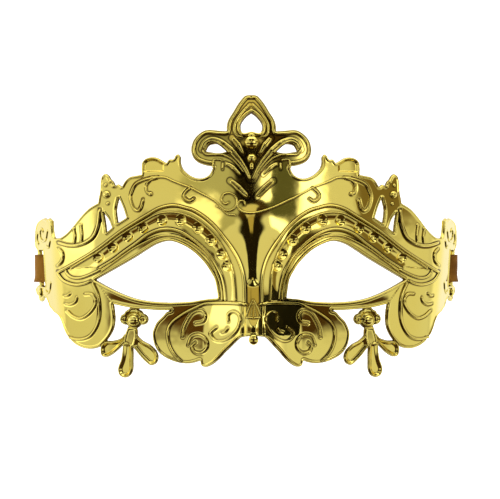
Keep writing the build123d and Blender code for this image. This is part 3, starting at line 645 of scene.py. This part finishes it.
def wall_piece(name, node, cells, depth, u, z, up, normal_grid, outward_grid, painted_shade_grid):
    """One closed piece of the wall from the chosen cells, cut off at the moulding's edge."""
    rows, cols = np.nonzero(cells)
    corners = (rows[:, None] + CORNERS[:, 0]) * depth.shape[1] + cols[:, None] + CORNERS[:, 1]
    depths = depth.ravel()
    count = depth.size
    case = ((depths[corners] > 0) * (1, 2, 4, 8)).sum(1)
    loops = []  # for each case, the loops' points: two grid places and the share between them
    for number in np.unique(case[case > 0]):
        ids = corners[case == number]
        loop = []
        for k in range(4):
            n = (k + 1) % 4
            if number >> k & 1:
                loop.append(np.column_stack([ids[:, k], ids[:, k], np.zeros(len(ids))]))
            if (number >> k ^ number >> n) & 1:
                pair = np.sort(ids[:, [k, n]], axis=1)
                low, high = depths[pair].T
                loop.append(np.column_stack([pair, np.clip(low / (low - high), 0.02, 0.98)]))
        loops.append(np.stack(loop, 1))
    flat = np.vstack([loop.reshape(-1, 3) for loop in loops])
    code = flat[:, 0].astype(np.int64) * (count + 1) + flat[:, 1].astype(np.int64)
    _, first, inverse = np.unique(code, return_index=True, return_inverse=True)
    vert = flat[first]
    a, b, t = vert[:, 0].astype(int), vert[:, 1].astype(int), vert[:, 2]

    def mix(grid):
        g = grid.reshape(count, -1)
        return g[a] * (1 - t)[:, None] + g[b] * t[:, None]

    cut = a != b
    uu, zz, hh = mix(u)[:, 0], mix(z)[:, 0], mix(up)[:, 0]
    dd = np.where(cut, 0, mix(depth)[:, 0])
    n_front, n_out = unit(mix(normal_grid)), mix(outward_grid)
    n_out = unit(n_out - n_front * (n_out * n_front).sum(1, keepdims=True))

    def rolled(radius, facing):
        """How far a rounded edge has fallen away, and its normals."""
        lean = np.clip((radius - dd) / radius, 0, 1)
        rise = np.sqrt(1 - lean ** 2)
        return radius * (1 - rise), facing * rise[:, None] + n_out * lean[:, None]

    drop, front_n = rolled(EDGE_ROUND, n_front)
    front = place(uu, zz, hh - drop)
    drop, back_n = rolled(BACK_ROUND, -n_front)
    back = place(uu, zz, np.minimum(hh, 0) * BACK_SHARE - SHELL + drop)

    faces, edges, start = [], [], 0
    for loop in loops:
        stop = start + loop.shape[0] * loop.shape[1]
        loop, start = inverse[start:stop].reshape(loop.shape[:2]), stop
        faces += loop.tolist()
        edges.append(np.stack([loop, np.roll(loop, -1, axis=1)], -1).reshape(-1, 2))
    edges = np.vstack(edges)
    total = len(vert)
    border = edges[~np.isin(edges @ (total, 1), edges @ (1, total))]
    faces += [[i + total for i in reversed(f)] for f in faces]
    faces += np.hstack([border[:, ::-1], border + total]).tolist()
    # Painted shade along the cut edges; the back gets it only at the edge itself
    painted_shade = mix(painted_shade_grid)[:, 0]
    return new_piece(name, np.vstack([front, back]), faces, node, np.vstack([front_n, back_n]),
                     painted_shade=np.concatenate([painted_shade, np.where(cut, painted_shade, 0)]))


def full(grid, odd=False):
    """The right half's grid with its mirror image joined on the left."""
    left = grid[:, :0:-1]
    return np.hstack([-left if odd else left, grid])


EDGE_SHADE_REACH, EDGE_DARK = 0.34, 0.9  # painted shade along the edges: its reach from an edge, and how dark it is there
FOOT_SHADE_REACH = 0.30  # reach of the painted shade from a rib's or bead's foot
FINE_HALF, FINE_SHADE = 0.52, 0.6  # finer ribs have fainter painted shade beside them
TAB_SHADE = 0.35  # and so do the side tabs
FEET = []  # line, half width and side (0 for both) of everything that stands on the wall


def painted_shade_at(side):
    """Painted shade: how dark the surface is painted in the corners beside the ribs and along the edges, from
    0 to 1.
    """
    dark = EDGE_DARK * np.exp(-(np.maximum(depth, 0) / EDGE_SHADE_REACH) ** 2)
    for line, half, only in FEET:
        away = distance(line * (-1, 1) if only == -side else line, half + 1.2)
        strength = 1.0 if half > FINE_HALF else FINE_SHADE
        dark = np.maximum(dark, strength * np.exp(-((away - half - 0.05) / FOOT_SHADE_REACH) ** 2))
    return np.where(U > TAB_START, TAB_SHADE * dark, dark)


def build_wall():
    d, h, u, z = full(depth), full(height), full(U, odd=True), full(Z)
    label = full(pieces_of_wall())
    surface = place(u, z, h)
    along_z, along_u = np.gradient(surface, axis=(0, 1))
    normal = unit(np.cross(along_z, along_u))
    normal *= -np.sign(normal[..., 1:2])
    slope_z, slope_u = np.gradient(d)
    outward = -(slope_u[..., None] * unit(along_u) + slope_z[..., None] * unit(along_z))
    # Painted shade over both halves of the face
    painted_shade = np.hstack([painted_shade_at(-1)[:, :0:-1], painted_shade_at(1)])
    right = (u[:-1, :-1] + STEP / 2) > 0
    solid = (d[:-1, :-1] > 0) | (d[1:, :-1] > 0) | (d[:-1, 1:] > 0) | (d[1:, 1:] > 0)
    owner = np.where(right, label[:-1, :-1], label[:-1, 1:])
    for number, name in enumerate(WALL_NAMES):
        sides = (("", True),) if name in MIDDLE else (("_left", ~right), ("_right", right))
        for suffix, half in sides:
            wall_piece(name + suffix + "_shell", name + suffix, solid & (owner == number) & half,
                       d, u, z, h, normal, outward, painted_shade)


# ---- Raised ribs and beads ----
ACROSS = np.sin(np.linspace(-np.pi / 2, np.pi / 2, 15))  # places across a rib, from -1 to 1
RIB_GAP = 0.35  # spacing of a rib's sections
TIP = 0.985  # how far a rib narrows at its very ends: 1 would be to a point
GROOVE_WIDE = 0.3  # half width of the groove along a rib, as a share of the rib's
# half width and darkness of the painted shade along a rib's groove
GROOVE_SHADE_HALF, GROOVE_DARK = 0.16, 0.9
FLANK = 0.66, 0.97  # where painted shade darkens a rib's sides towards its foot
BEAD_RINGS, BEAD_TURNS = 8, 36


def ring_faces(n, m, closed=False):
    """Faces of a tube of n rings of m points, capped unless it is closed."""
    faces = []
    for i in range(n if closed else n - 1):
        a, b = i * m, (i + 1) % n * m
        faces += [(a + k, a + (k + 1) % m, b + (k + 1) % m, b + k) for k in range(m)]
    if not closed:
        faces += [tuple(range(m - 1, -1, -1)), tuple(range((n - 1) * m, n * m))]
    return faces


def rib(line, width, height_up, ends=(1, 1), groove=0.0, closed=False, side=0):
    """Points, faces and painted shade of a rib along a line, its foot in the wall."""
    line = resample(line, RIB_GAP)
    FEET.append((line, width / 2, side))
    if closed:
        line = line[:-1]
        out = sideways(line, closed=True)
        size = np.ones(len(line))
    else:
        out = sideways(line)
        run = np.linspace(0, 1, len(line))
        size = np.interp(run, (0, 0.5, 1), (ends[0], 1, ends[1]))
        length = len(line) * RIB_GAP
        from_end = np.minimum(run / ends[0], (1 - run) / ends[1]) * length
        size = size * np.sqrt(1 - np.clip(1 - from_end / (width / 2), 0, TIP) ** 2)
    half = width / 2 * size
    u, z = (line[:, i, None] + out[:, i, None] * half[:, None] * ACROSS for i in (0, 1))
    section = np.sqrt(np.maximum(1 - ACROSS ** 2, 0)) * (1 - groove * np.exp(-(ACROSS / GROOVE_WIDE) ** 2))
    bulge = (height_up * size)[:, None] * section
    mid = on_grid(height, line[:, 0], line[:, 1])
    top = place(u, z, mid[:, None] + bulge - SINK * (bulge == 0))
    foot = place(u[:, [0, -1]], z[:, [0, -1]], mid[:, None] - SINK * 2 + np.zeros((len(line), 2)))
    ring = np.concatenate([top, foot[:, ::-1]], 1)
    across = np.concatenate([ACROSS, [1, 1]])
    # Painted shade on a rib's flanks towards its foot and along its groove
    painted_groove_shade = GROOVE_DARK * (groove > 0) * np.exp(-(across / GROOVE_SHADE_HALF) ** 2)
    painted_shade = np.maximum(smooth(np.abs(across), *FLANK), painted_groove_shade)
    strength = TAB_SHADE if line[0, 0] > TAB_START else 1.0 if width / 2 > FINE_HALF else FINE_SHADE
    return ring.reshape(-1, 3), ring_faces(*ring.shape[:2], closed), np.tile(painted_shade * strength, len(line))


def bead(centre, radius_u, radius_z, height_up):
    """Points, faces and painted shade of a dome standing on the wall."""
    n = BEAD_TURNS
    angle = np.linspace(0, 2 * np.pi, n, endpoint=False)
    base = float(on_grid(height, *np.array(centre, float)))

    def ring(turn, wide, up):
        u, z = centre[0] + radius_u * wide * np.cos(turn), centre[1] + radius_z * wide * np.sin(turn)
        return place(u, z, np.full(len(turn), up))

    middle = np.zeros(1)
    points = [ring(middle, 0, base + height_up)]
    for k in range(1, BEAD_RINGS + 1):
        fall = math.pi / 2 * k / BEAD_RINGS
        up = base + height_up * math.cos(fall) if k < BEAD_RINGS else base - SINK
        points.append(ring(angle, math.sin(fall), up))
    points.append(ring(middle, 0, base - SINK * 2))
    faces = [(0, 1 + k, 1 + (k + 1) % n) for k in range(n)]
    for a in range(1, 1 + (BEAD_RINGS - 1) * n, n):
        faces += [(a + k, a + n + k, a + n + (k + 1) % n, a + (k + 1) % n) for k in range(n)]
    last = 1 + BEAD_RINGS * n
    faces += [(last, last - n + (k + 1) % n, last - n + k) for k in range(n)]
    # Painted shade on the two lowest rings and the foot
    dark = np.clip(np.arange(1, BEAD_RINGS + 1) - BEAD_RINGS + 2, 0, 2) / 2
    foot = np.stack([centre[0] + radius_u * np.cos(angle), centre[1] + radius_z * np.sin(angle)], -1)
    FEET.append((np.vstack([foot, foot[:1]]), 0.0, 0))
    return np.vstack(points), faces, np.concatenate([[0], np.repeat(dark, n), [1]])


def gather(parts):
    """Several sets of points, faces and painted shade as one."""
    faces, start = [], 0
    for points, part_faces, _ in parts:
        faces += [tuple(i + start for i in face) for face in part_faces]
        start += len(points)
    return np.vstack([part[0] for part in parts]), faces, np.concatenate([part[2] for part in parts])


def turned_out(piece):
    """Turns the piece's faces outwards."""
    bm = bmesh.new()
    bm.from_mesh(piece.data)
    bmesh.ops.recalc_face_normals(bm, faces=bm.faces)
    bm.to_mesh(piece.data)
    bm.free()


def mirror(parts):
    return [(p * (-1, 1, 1), [tuple(reversed(f)) for f in fs], dark) for p, fs, dark in parts]


def add_relief(name, parts, both=False):
    """One piece from its ribs and beads, or one a side."""
    sides = (("_right", parts), ("_left", mirror(parts))) if both else (("", parts),)
    for suffix, items in sides:
        points, faces, painted_shade = gather(items)
        turned_out(new_piece(name + suffix + "_relief", points, faces, name + suffix, painted_shade=painted_shade))


def build_relief():
    parts = {}

    def add(node, item):
        parts.setdefault(node, []).append(item)

    add("eye_rim", rib(around(EYE, 0.55), 0.95, 0.6, closed=True))
    add("eye_rim", rib(shifted(curve(RIM_TOP), -0.3), 0.9, 0.6))
    add("eye_rim", rib(shifted(curve(LID_EDGE), 0.45), 0.8, 0.6))
    add("brow_inner_rail", rib(shifted(curve(INNER_RAIL), 0.8), 1.6, 0.9))
    add("brow_inner_rail", rib(curve(CUP_LINE), 1.1, 0.7))
    add("brow_outer_rail", rib(curve(MID_RAIL), 0.95, 0.7))
    add("brow_outer_rail", rib(curve(CUP_RAIL), 1.2, 0.85))
    add("brow_outer_rail", rib(shifted(curve(OUTER_RAIL), 0.7), 1.35, 1.0))
    for node, ribs in RIBS.items():
        for line, *shape in ribs:
            add(node, rib(curve(line), *shape))
    for node, centre, radius, up in DOTS:
        add(node, bead(centre, radius, radius, up))
    add("nose_ridge", rib(curve(NOSE_RIDGE), 1.3, 0.8))
    add("flower_bead", bead(FLOWER_HEAD, 2.3, 2.3, 1.5))
    add("tab_flower", bead((109.5, -10.8), 2.3, 2.1, 1.2))
    for node, items in parts.items():
        add_relief(node, items, both=True)
    add_relief("crest_window_rim", [rib(around(HEART_LOOP, 1.0), 1.5, 0.8, closed=True)])
    half = rib(shifted(joined(CREST_TOP[1:], CREST_SIDE), -1.5), 1.3, 0.8)
    add_relief("crest_rim", [half] + mirror([half]))
    add_relief("crest_beads", [bead(*shape) for shape in CREST_BEADS])
    right = [rib(curve(line), width, up, side=1) for line, width, up in FOREHEAD_RIGHT]
    left = [rib(curve(line), width, up, side=-1) for line, width, up in FOREHEAD_LEFT]
    add_relief("forehead_scroll_right", right)
    add_relief("forehead_scroll_left", mirror(left))
    add_relief("gate_nub", [bead((0, -29), 2.0, 2.2, 1.2)])


def around(loop, out):
    """A closed loop moved outwards."""
    loop = resample(np.vstack([loop, loop[:1]]), 0.4)[:-1]
    area = np.sum(loop[:, 0] * np.roll(loop[:, 1], -1) - np.roll(loop[:, 0], -1) * loop[:, 1])
    moved = loop - out * math.copysign(1, area) * sideways(loop, closed=True)
    return np.vstack([moved, moved[:1]])


# ---- Materials ----
# The dark brown of the painted shade in the corners beside the ribs and along the edges
PAINTED_SHADE_COLOUR = (0.07, 0.03, 0.006, 1)


def set_inputs(tree, node, inputs):
    """Sets each input of a node to a constant, or joins it to another node's output."""
    for socket, value in inputs.items():
        if isinstance(value, bpy.types.NodeSocket):
            tree.links.new(value, node.inputs[socket])
        else:
            node.inputs[socket].default_value = value


def add_node(tree, kind, inputs=None, **settings):
    node = tree.nodes.new("ShaderNode" + kind)
    for name, value in settings.items():
        setattr(node, name, value)
    set_inputs(tree, node, inputs or {})
    return node


def colour_ramp(tree, share, *stops):
    """A colour that runs between stops, each a position and a colour."""
    node = add_node(tree, "ValToRGB", {"Fac": share})
    for element, (position, colour) in zip(node.color_ramp.elements, stops):
        element.position = position
        element.color = (*colour, 1)
    return node.outputs["Color"]


def new_material(name):
    material = bpy.data.materials.new(name)
    material.use_nodes = True
    return material, material.node_tree, material.node_tree.nodes["Principled BSDF"]


def gold():
    material, tree, shader = new_material("gold")
    place_at = add_node(tree, "TexCoord").outputs["Object"]
    tint = add_node(tree, "TexNoise", {"Vector": place_at, "Scale": 22.0, "Detail": 4.0}).outputs["Fac"]
    colours = colour_ramp(tree, tint, (0.35, (0.92, 0.74, 0.16)), (0.65, (0.95, 0.80, 0.20)))
    # Painted shade: the colour is darkened towards that dark brown by each point's painted shade
    painted_shade = add_node(tree, "Attribute", attribute_name="painted_shade").outputs["Fac"]
    colours_with_painted_shade = add_node(tree, "Mix", {0: painted_shade, 6: colours, 7: PAINTED_SHADE_COLOUR}, data_type="RGBA").outputs[2]
    haze = add_node(tree, "TexNoise", {"Vector": place_at, "Scale": 260.0, "Detail": 3.0}).outputs["Fac"]
    gloss = add_node(tree, "MapRange", {"Value": haze, "To Min": 0.03, "To Max": 0.10}).outputs["Result"]
    ripple = add_node(tree, "Bump", {"Height": tint, "Strength": 0.6, "Distance": 0.0009}).outputs["Normal"]
    set_inputs(tree, shader, {"Metallic": 1.0, "Base Color": colours_with_painted_shade, "Roughness": gloss, "Normal": ripple})
    return material


def satin():
    material, tree, shader = new_material("ribbon")
    place_at = add_node(tree, "TexCoord").outputs["Object"]
    weave = add_node(tree, "TexWave", {"Vector": place_at, "Scale": 900.0}, bands_direction="Z")
    shade = add_node(tree, "TexNoise", {"Vector": place_at, "Scale": 90.0}).outputs["Fac"]
    colours = colour_ramp(tree, shade, (0.3, (0.12, 0.045, 0.006)), (0.75, (0.32, 0.15, 0.022)))
    threads = add_node(tree, "Bump", {"Height": weave.outputs["Fac"], "Strength": 0.25, "Distance": 0.0001})
    set_inputs(tree, shader, {"Roughness": 0.48, "Specular IOR Level": 0.3, "Base Color": colours,
                              "Specular Tint": (0.95, 0.55, 0.20, 1), "Normal": threads.outputs["Normal"]})
    return material


# ---- Ribbons: each turns round its bar and the rest is folded into a tied hank behind the tab ----
RIBBON_WIDTH = 12.4
RIBBON_LOW = -6.0
RIBBON_THICK = 0.32
BAR_CENTRE = (92.934, 74.844)
LOOP_RADIUS = 2.75
LOOP_LEAVE = math.radians(40)  # where the ribbon leaves its turn round the bar
LOOP_EXIT = [(4.6, 1.0), (7.2, 0.45)]  # and the way from there to the hank
HANK_TURN = math.radians(10)
HANK_FROM, HANK_TO = 9.8, 53.6  # along the hank, from the bar's centre
LAYERS = 5  # on each side of the middle
LAYER_GAP = 0.47
FOLD_OUT = 0.3  # how far a fold stands past its layers
RIPPLE = 0.05
TIE_AT, TIE_HALF = 32.0, 3.0  # along the hank
TIE_PINCH, PINCH_REACH = 0.12, 5  # how far the tie draws the layers together, and its reach
TIE_ACROSS, TIE_UP = 2.55, 6.65  # half the size of the band's section
TIE_CORNER, TIE_THICK = 0.8, 0.3
TIE_SWELL, TIE_SLANT = 0.06, 0.15
TIE_TURNS, TIE_STEPS = 40, 9


def hank_line(half):
    """The fold line of one half of the ribbon, from the loop out to the ribbon's end."""
    turn = np.linspace(math.pi, LOOP_LEAVE, 25)
    runs = [LOOP_RADIUS * np.stack([np.cos(turn), np.sin(turn)], -1), LOOP_EXIT]
    for layer in range(LAYERS):
        level = LAYER_GAP * (layer + 0.5)
        ends = HANK_FROM + 0.35 * (layer % 3), HANK_TO - 0.5 * (layer * 2 % 3)
        start, stop = ends if layer % 2 == 0 else ends[::-1]
        at = np.linspace(start, stop, 23)
        pinch = 1 - TIE_PINCH * np.exp(-((at - TIE_AT) / PINCH_REACH) ** 2)
        runs.append(np.stack([at, level * pinch + RIPPLE * np.sin(at * 0.55 + layer)], -1))
        if layer < LAYERS - 1:
            runs.append([(stop + math.copysign(FOLD_OUT, stop - start), level + LAYER_GAP / 2)])
    return np.vstack(runs) * (1, half)


def ribbon_points(local, z, side):
    """The hank's own points (along, across) put in place on one side."""
    s, t = local[..., 0], local[..., 1]
    x = BAR_CENTRE[0] - s * math.sin(HANK_TURN) - t * math.cos(HANK_TURN)
    y = BAR_CENTRE[1] + s * math.cos(HANK_TURN) - t * math.sin(HANK_TURN)
    return np.stack(np.broadcast_arrays(side * x, y, z), -1)


def ribbon_wave(at, ups):
    """How far the ribbon stands off its line; round the bar its lower edge curls."""
    loop = np.clip((3.5 - at) / 4, 0, 1)
    curl = 0.65 * np.exp(-((ups - 0.03) / 0.09) ** 2) - 0.12 * np.exp(-((ups - 0.3) / 0.2) ** 2)
    return loop * (curl + 0.12 * (ups - 0.5)) + RIPPLE * np.sin(at * 0.8 + 5 * ups)


def ribbon_strip(side):
    """The ribbon: a closed flat strip standing on edge along its fold line."""
    line = resample(np.vstack([hank_line(-1)[::-1], hank_line(1)[1:]]), 0.6)
    ups = np.linspace(0, 1, 9)
    z = RIBBON_LOW + RIBBON_WIDTH * ups
    shift = ribbon_wave(line[:, :1], ups)[..., None]
    half = RIBBON_THICK / 2
    front, back = (line[:, None] + sideways(line)[:, None] * (shift + by) for by in (half, -half))
    ring = np.concatenate([front, back[:, ::-1]], 1)
    points = ribbon_points(ring, np.concatenate([z, z[::-1]]), side)
    return points.reshape(-1, 3), ring_faces(*ring.shape[:2])


def tie_band(side):
    """A band of ribbon round the middle of the hank."""
    angle = 2 * math.pi * np.arange(TIE_TURNS)[:, None] / TIE_TURNS
    out_t, out_z = np.cos(angle), np.sin(angle)
    t = np.copysign(TIE_ACROSS - TIE_CORNER, out_t) + TIE_CORNER * out_t
    z = np.copysign(TIE_UP - TIE_CORNER, out_z) + TIE_CORNER * out_z
    along = np.linspace(-TIE_HALF, TIE_HALF, TIE_STEPS)
    along = np.concatenate([along, along[::-1]])
    swell = TIE_SWELL * np.sin(along * 2.1 + z * 0.9) - np.repeat([0, TIE_THICK], TIE_STEPS)
    local = np.stack([TIE_AT + along + TIE_SLANT * z / TIE_UP, t + out_t * swell], -1)
    points = ribbon_points(local, RIBBON_LOW + RIBBON_WIDTH / 2 + z + out_z * swell, side)
    return points.reshape(-1, 3), ring_faces(TIE_TURNS, 2 * TIE_STEPS, closed=True)


def build_ribbons():
    for suffix, side in (("_left", -1), ("_right", 1)):
        body = "ribbon" + suffix
        ribbon = new_piece(body + "_satin", *ribbon_strip(side), "ribbon_loop" + suffix,
                           body=body, slot="ribbon")
        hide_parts("ribbon_hank" + suffix)
        tie = new_piece("ribbon_tie" + suffix + "_band", *tie_band(side), "ribbon_tie" + suffix,
                        body=body, slot="ribbon")
        turned_out(ribbon)
        turned_out(tie)


MATERIALS = {"gold": gold(), "ribbon": satin()}
build_relief()
build_wall()
build_ribbons()


# ---- Studio ----
def plain(name, colour, glow=0.0):
    material, tree, shader = new_material(name)
    set_inputs(tree, shader, {"Base Color": (*colour, 1), "Roughness": 0.9, "Emission Color": (1, 1, 1, 1),
                              "Emission Strength": glow})
    return material


def stage_piece(name, points, faces, material):
    mesh = bpy.data.meshes.new(name)
    mesh.from_pydata(points, [], faces)
    mesh.materials.append(material)
    made = linked(name, mesh)
    return made


def studio_floor():
    """A white sweep: floor under the mask, curving up behind it."""
    half, front, back, top, bend = 3.0, -2.5, 1.6, 3.0, 0.6
    floor_z = -0.049
    rounds = (math.pi / 2 * k / 12 for k in range(13))
    sweep = [(back - bend + bend * math.sin(a), floor_z + bend - bend * math.cos(a)) for a in rounds]
    profile = [(front, floor_z), *sweep, (back, top)]
    points = [(x, y, z) for y, z in profile for x in (-half, half)]
    faces = [(2 * i, 2 * i + 1, 2 * i + 3, 2 * i + 2) for i in range(len(profile) - 1)]
    sweep = stage_piece("studio_sweep", points, faces, plain("studio_white", (0.9, 0.9, 0.9), 0.6))
    sweep.visible_glossy = False  # the mask reflects the lights, not the floor's edge


FLAG_X, FLAG_Y, FLAG_Z = 0.024, (-0.030, 0.0082), (-0.0285, -0.003)


def black_flag():
    """A black card beside the nose that darkens what its right side reflects."""
    x, (y0, y1), (z0, z1) = FLAG_X, FLAG_Y, FLAG_Z
    flag = stage_piece("studio_flag", [(x, y0, z0), (x, y1, z0), (x, y1, z1), (x, y0, z1)], [(0, 1, 2, 3)],
                       plain("studio_black", (0.01, 0.008, 0.005)))
    flag.visible_camera = False
    flag.visible_shadow = False
    flag.visible_diffuse = False


def softbox():
    """A large lamp above and in front of the mask."""
    light = bpy.data.lights.new("softbox_top", "AREA")
    light.shape = "RECTANGLE"
    light.size = light.size_y = 1.6
    light.energy = 6
    lamp = linked("softbox_top", light)
    lamp.location = (0, -0.2, 1.6)
    lamp.rotation_euler = (-lamp.location).to_track_quat("-Z", "Y").to_euler()
    lamp.visible_camera = False
    lamp.visible_glossy = False


# Where the light comes from, seen from the mask: azimuth 0 is the camera, 90 its right, 180 the backdrop.
# (azimuth, half width, elevation, half height, colour, softness), in degrees; each lies over the ones before.
BROWN = (0.05, 0.028, 0.010)
BLACK = (0.012, 0.008, 0.004)
OLIVE = (0.10, 0.10, 0.055)
CARDS = [
    (180, 78, 0, 95, (1.05, 1.05, 1.05), 14),
    (-62, 41, 13, 42, (0.72, 0.72, 0.70), 8),
    (62, 41, 13, 42, (0.74, 0.74, 0.72), 8),
    (0, 181, 78, 26, (1.7, 1.7, 1.7), 14),
    (0, 40, 46, 13, BLACK, 7),
    (-18, 12, 17, 9, (0.46, 0.46, 0.40), 4),
    (-22, 9, 10, 3, (1.5, 1.5, 1.5), 4),
    (15, 7, 14, 7, OLIVE, 3),
    (30, 6, 12, 12, (2.6, 2.6, 2.6), 4),
    (0, 5, 19, 8, BLACK, 3),
    (8, 2.4, 15, 5, (2.2, 2.2, 2.2), 2),
    (-91, 13, 7, 8, (1.7, 1.7, 1.7), 6),
    (82, 30, 14, 9, (0.20, 0.15, 0.07), 5),
    (-45, 24, -6, 6, (0.085, 0.040, 0.012), 5),
    (45, 24, -5, 6, (0.06, 0.030, 0.010), 5),
    (-36, 14, 4.5, 4, (0.10, 0.06, 0.02), 4),
    (36, 12, 4, 3, (0.25, 0.18, 0.08), 4),
    (0, 20, -3, 11, BLACK, 5),
    (0, 7, 41, 5, (0.45, 0.36, 0.18), 3),
    (0, 8, 31, 5, (0.66, 0.60, 0.45), 2),
]


def world():
    """Each reflected ray sees the cards, by its direction; the camera sees plain white."""
    w = bpy.data.worlds.new("studio")
    bpy.context.scene.world = w
    w.use_nodes = True
    tree = w.node_tree

    def calc(operation, *inputs):
        return add_node(tree, "Math", dict(enumerate(inputs)), operation=operation).outputs[0]

    def within(angle, middle, half, soft):
        limits = {"Value": calc("ABSOLUTE", calc("SUBTRACT", angle, middle)),
                  "From Min": half + soft / 2, "From Max": half - soft / 2}
        return add_node(tree, "MapRange", limits, interpolation_type="SMOOTHSTEP").outputs["Result"]

    way = add_node(tree, "TexCoord").outputs["Generated"]
    x, y, z = add_node(tree, "SeparateXYZ", {0: way}).outputs
    azimuth = calc("MULTIPLY", calc("ARCTAN2", x, calc("MULTIPLY", y, -1.0)), 180 / math.pi)
    elevation = calc("MULTIPLY", calc("ARCSINE", z), 180 / math.pi)
    colour = (*BROWN, 1)
    for card_azimuth, half, card_elevation, half_high, card_colour, soft in CARDS:
        seen = calc("ABSOLUTE", azimuth) if card_azimuth == 180 else azimuth
        cover = calc("MULTIPLY", within(seen, card_azimuth, half, soft),
                     within(elevation, card_elevation, half_high, soft))
        over = add_node(tree, "Mix", {0: cover, 6: colour, 7: (*card_colour, 1)}, data_type="RGBA")
        colour = over.outputs[2]
    cards = tree.nodes["Background"]
    set_inputs(tree, cards, {"Color": colour})
    white = add_node(tree, "Background", {"Color": (1, 1, 1, 1)})
    camera_ray = add_node(tree, "LightPath").outputs["Is Camera Ray"]
    choose = add_node(tree, "MixShader", {0: camera_ray, 1: cards.outputs[0], 2: white.outputs[0]})
    set_inputs(tree, tree.nodes["World Output"], {"Surface": choose.outputs[0]})


studio_floor()
black_flag()
world()
softbox()

CAMERA_TARGET = (-0.85, 9.1, 8.7)
CAMERA_AWAY = 1000.0
CAMERA_YAW = math.radians(-2)
bpy.context.scene.view_settings.view_transform = "Standard"
camera_data = bpy.data.cameras.new("camera")
camera_data.lens = 169.4
camera_data.sensor_width = 36
camera = linked("camera", camera_data)
camera.location = [MM * (CAMERA_TARGET[0] + CAMERA_AWAY * math.sin(CAMERA_YAW)),
                   MM * (CAMERA_TARGET[1] - CAMERA_AWAY * math.cos(CAMERA_YAW)), MM * CAMERA_TARGET[2]]
camera.rotation_euler = (math.pi / 2, 0, CAMERA_YAW)
bpy.context.scene.camera = camera
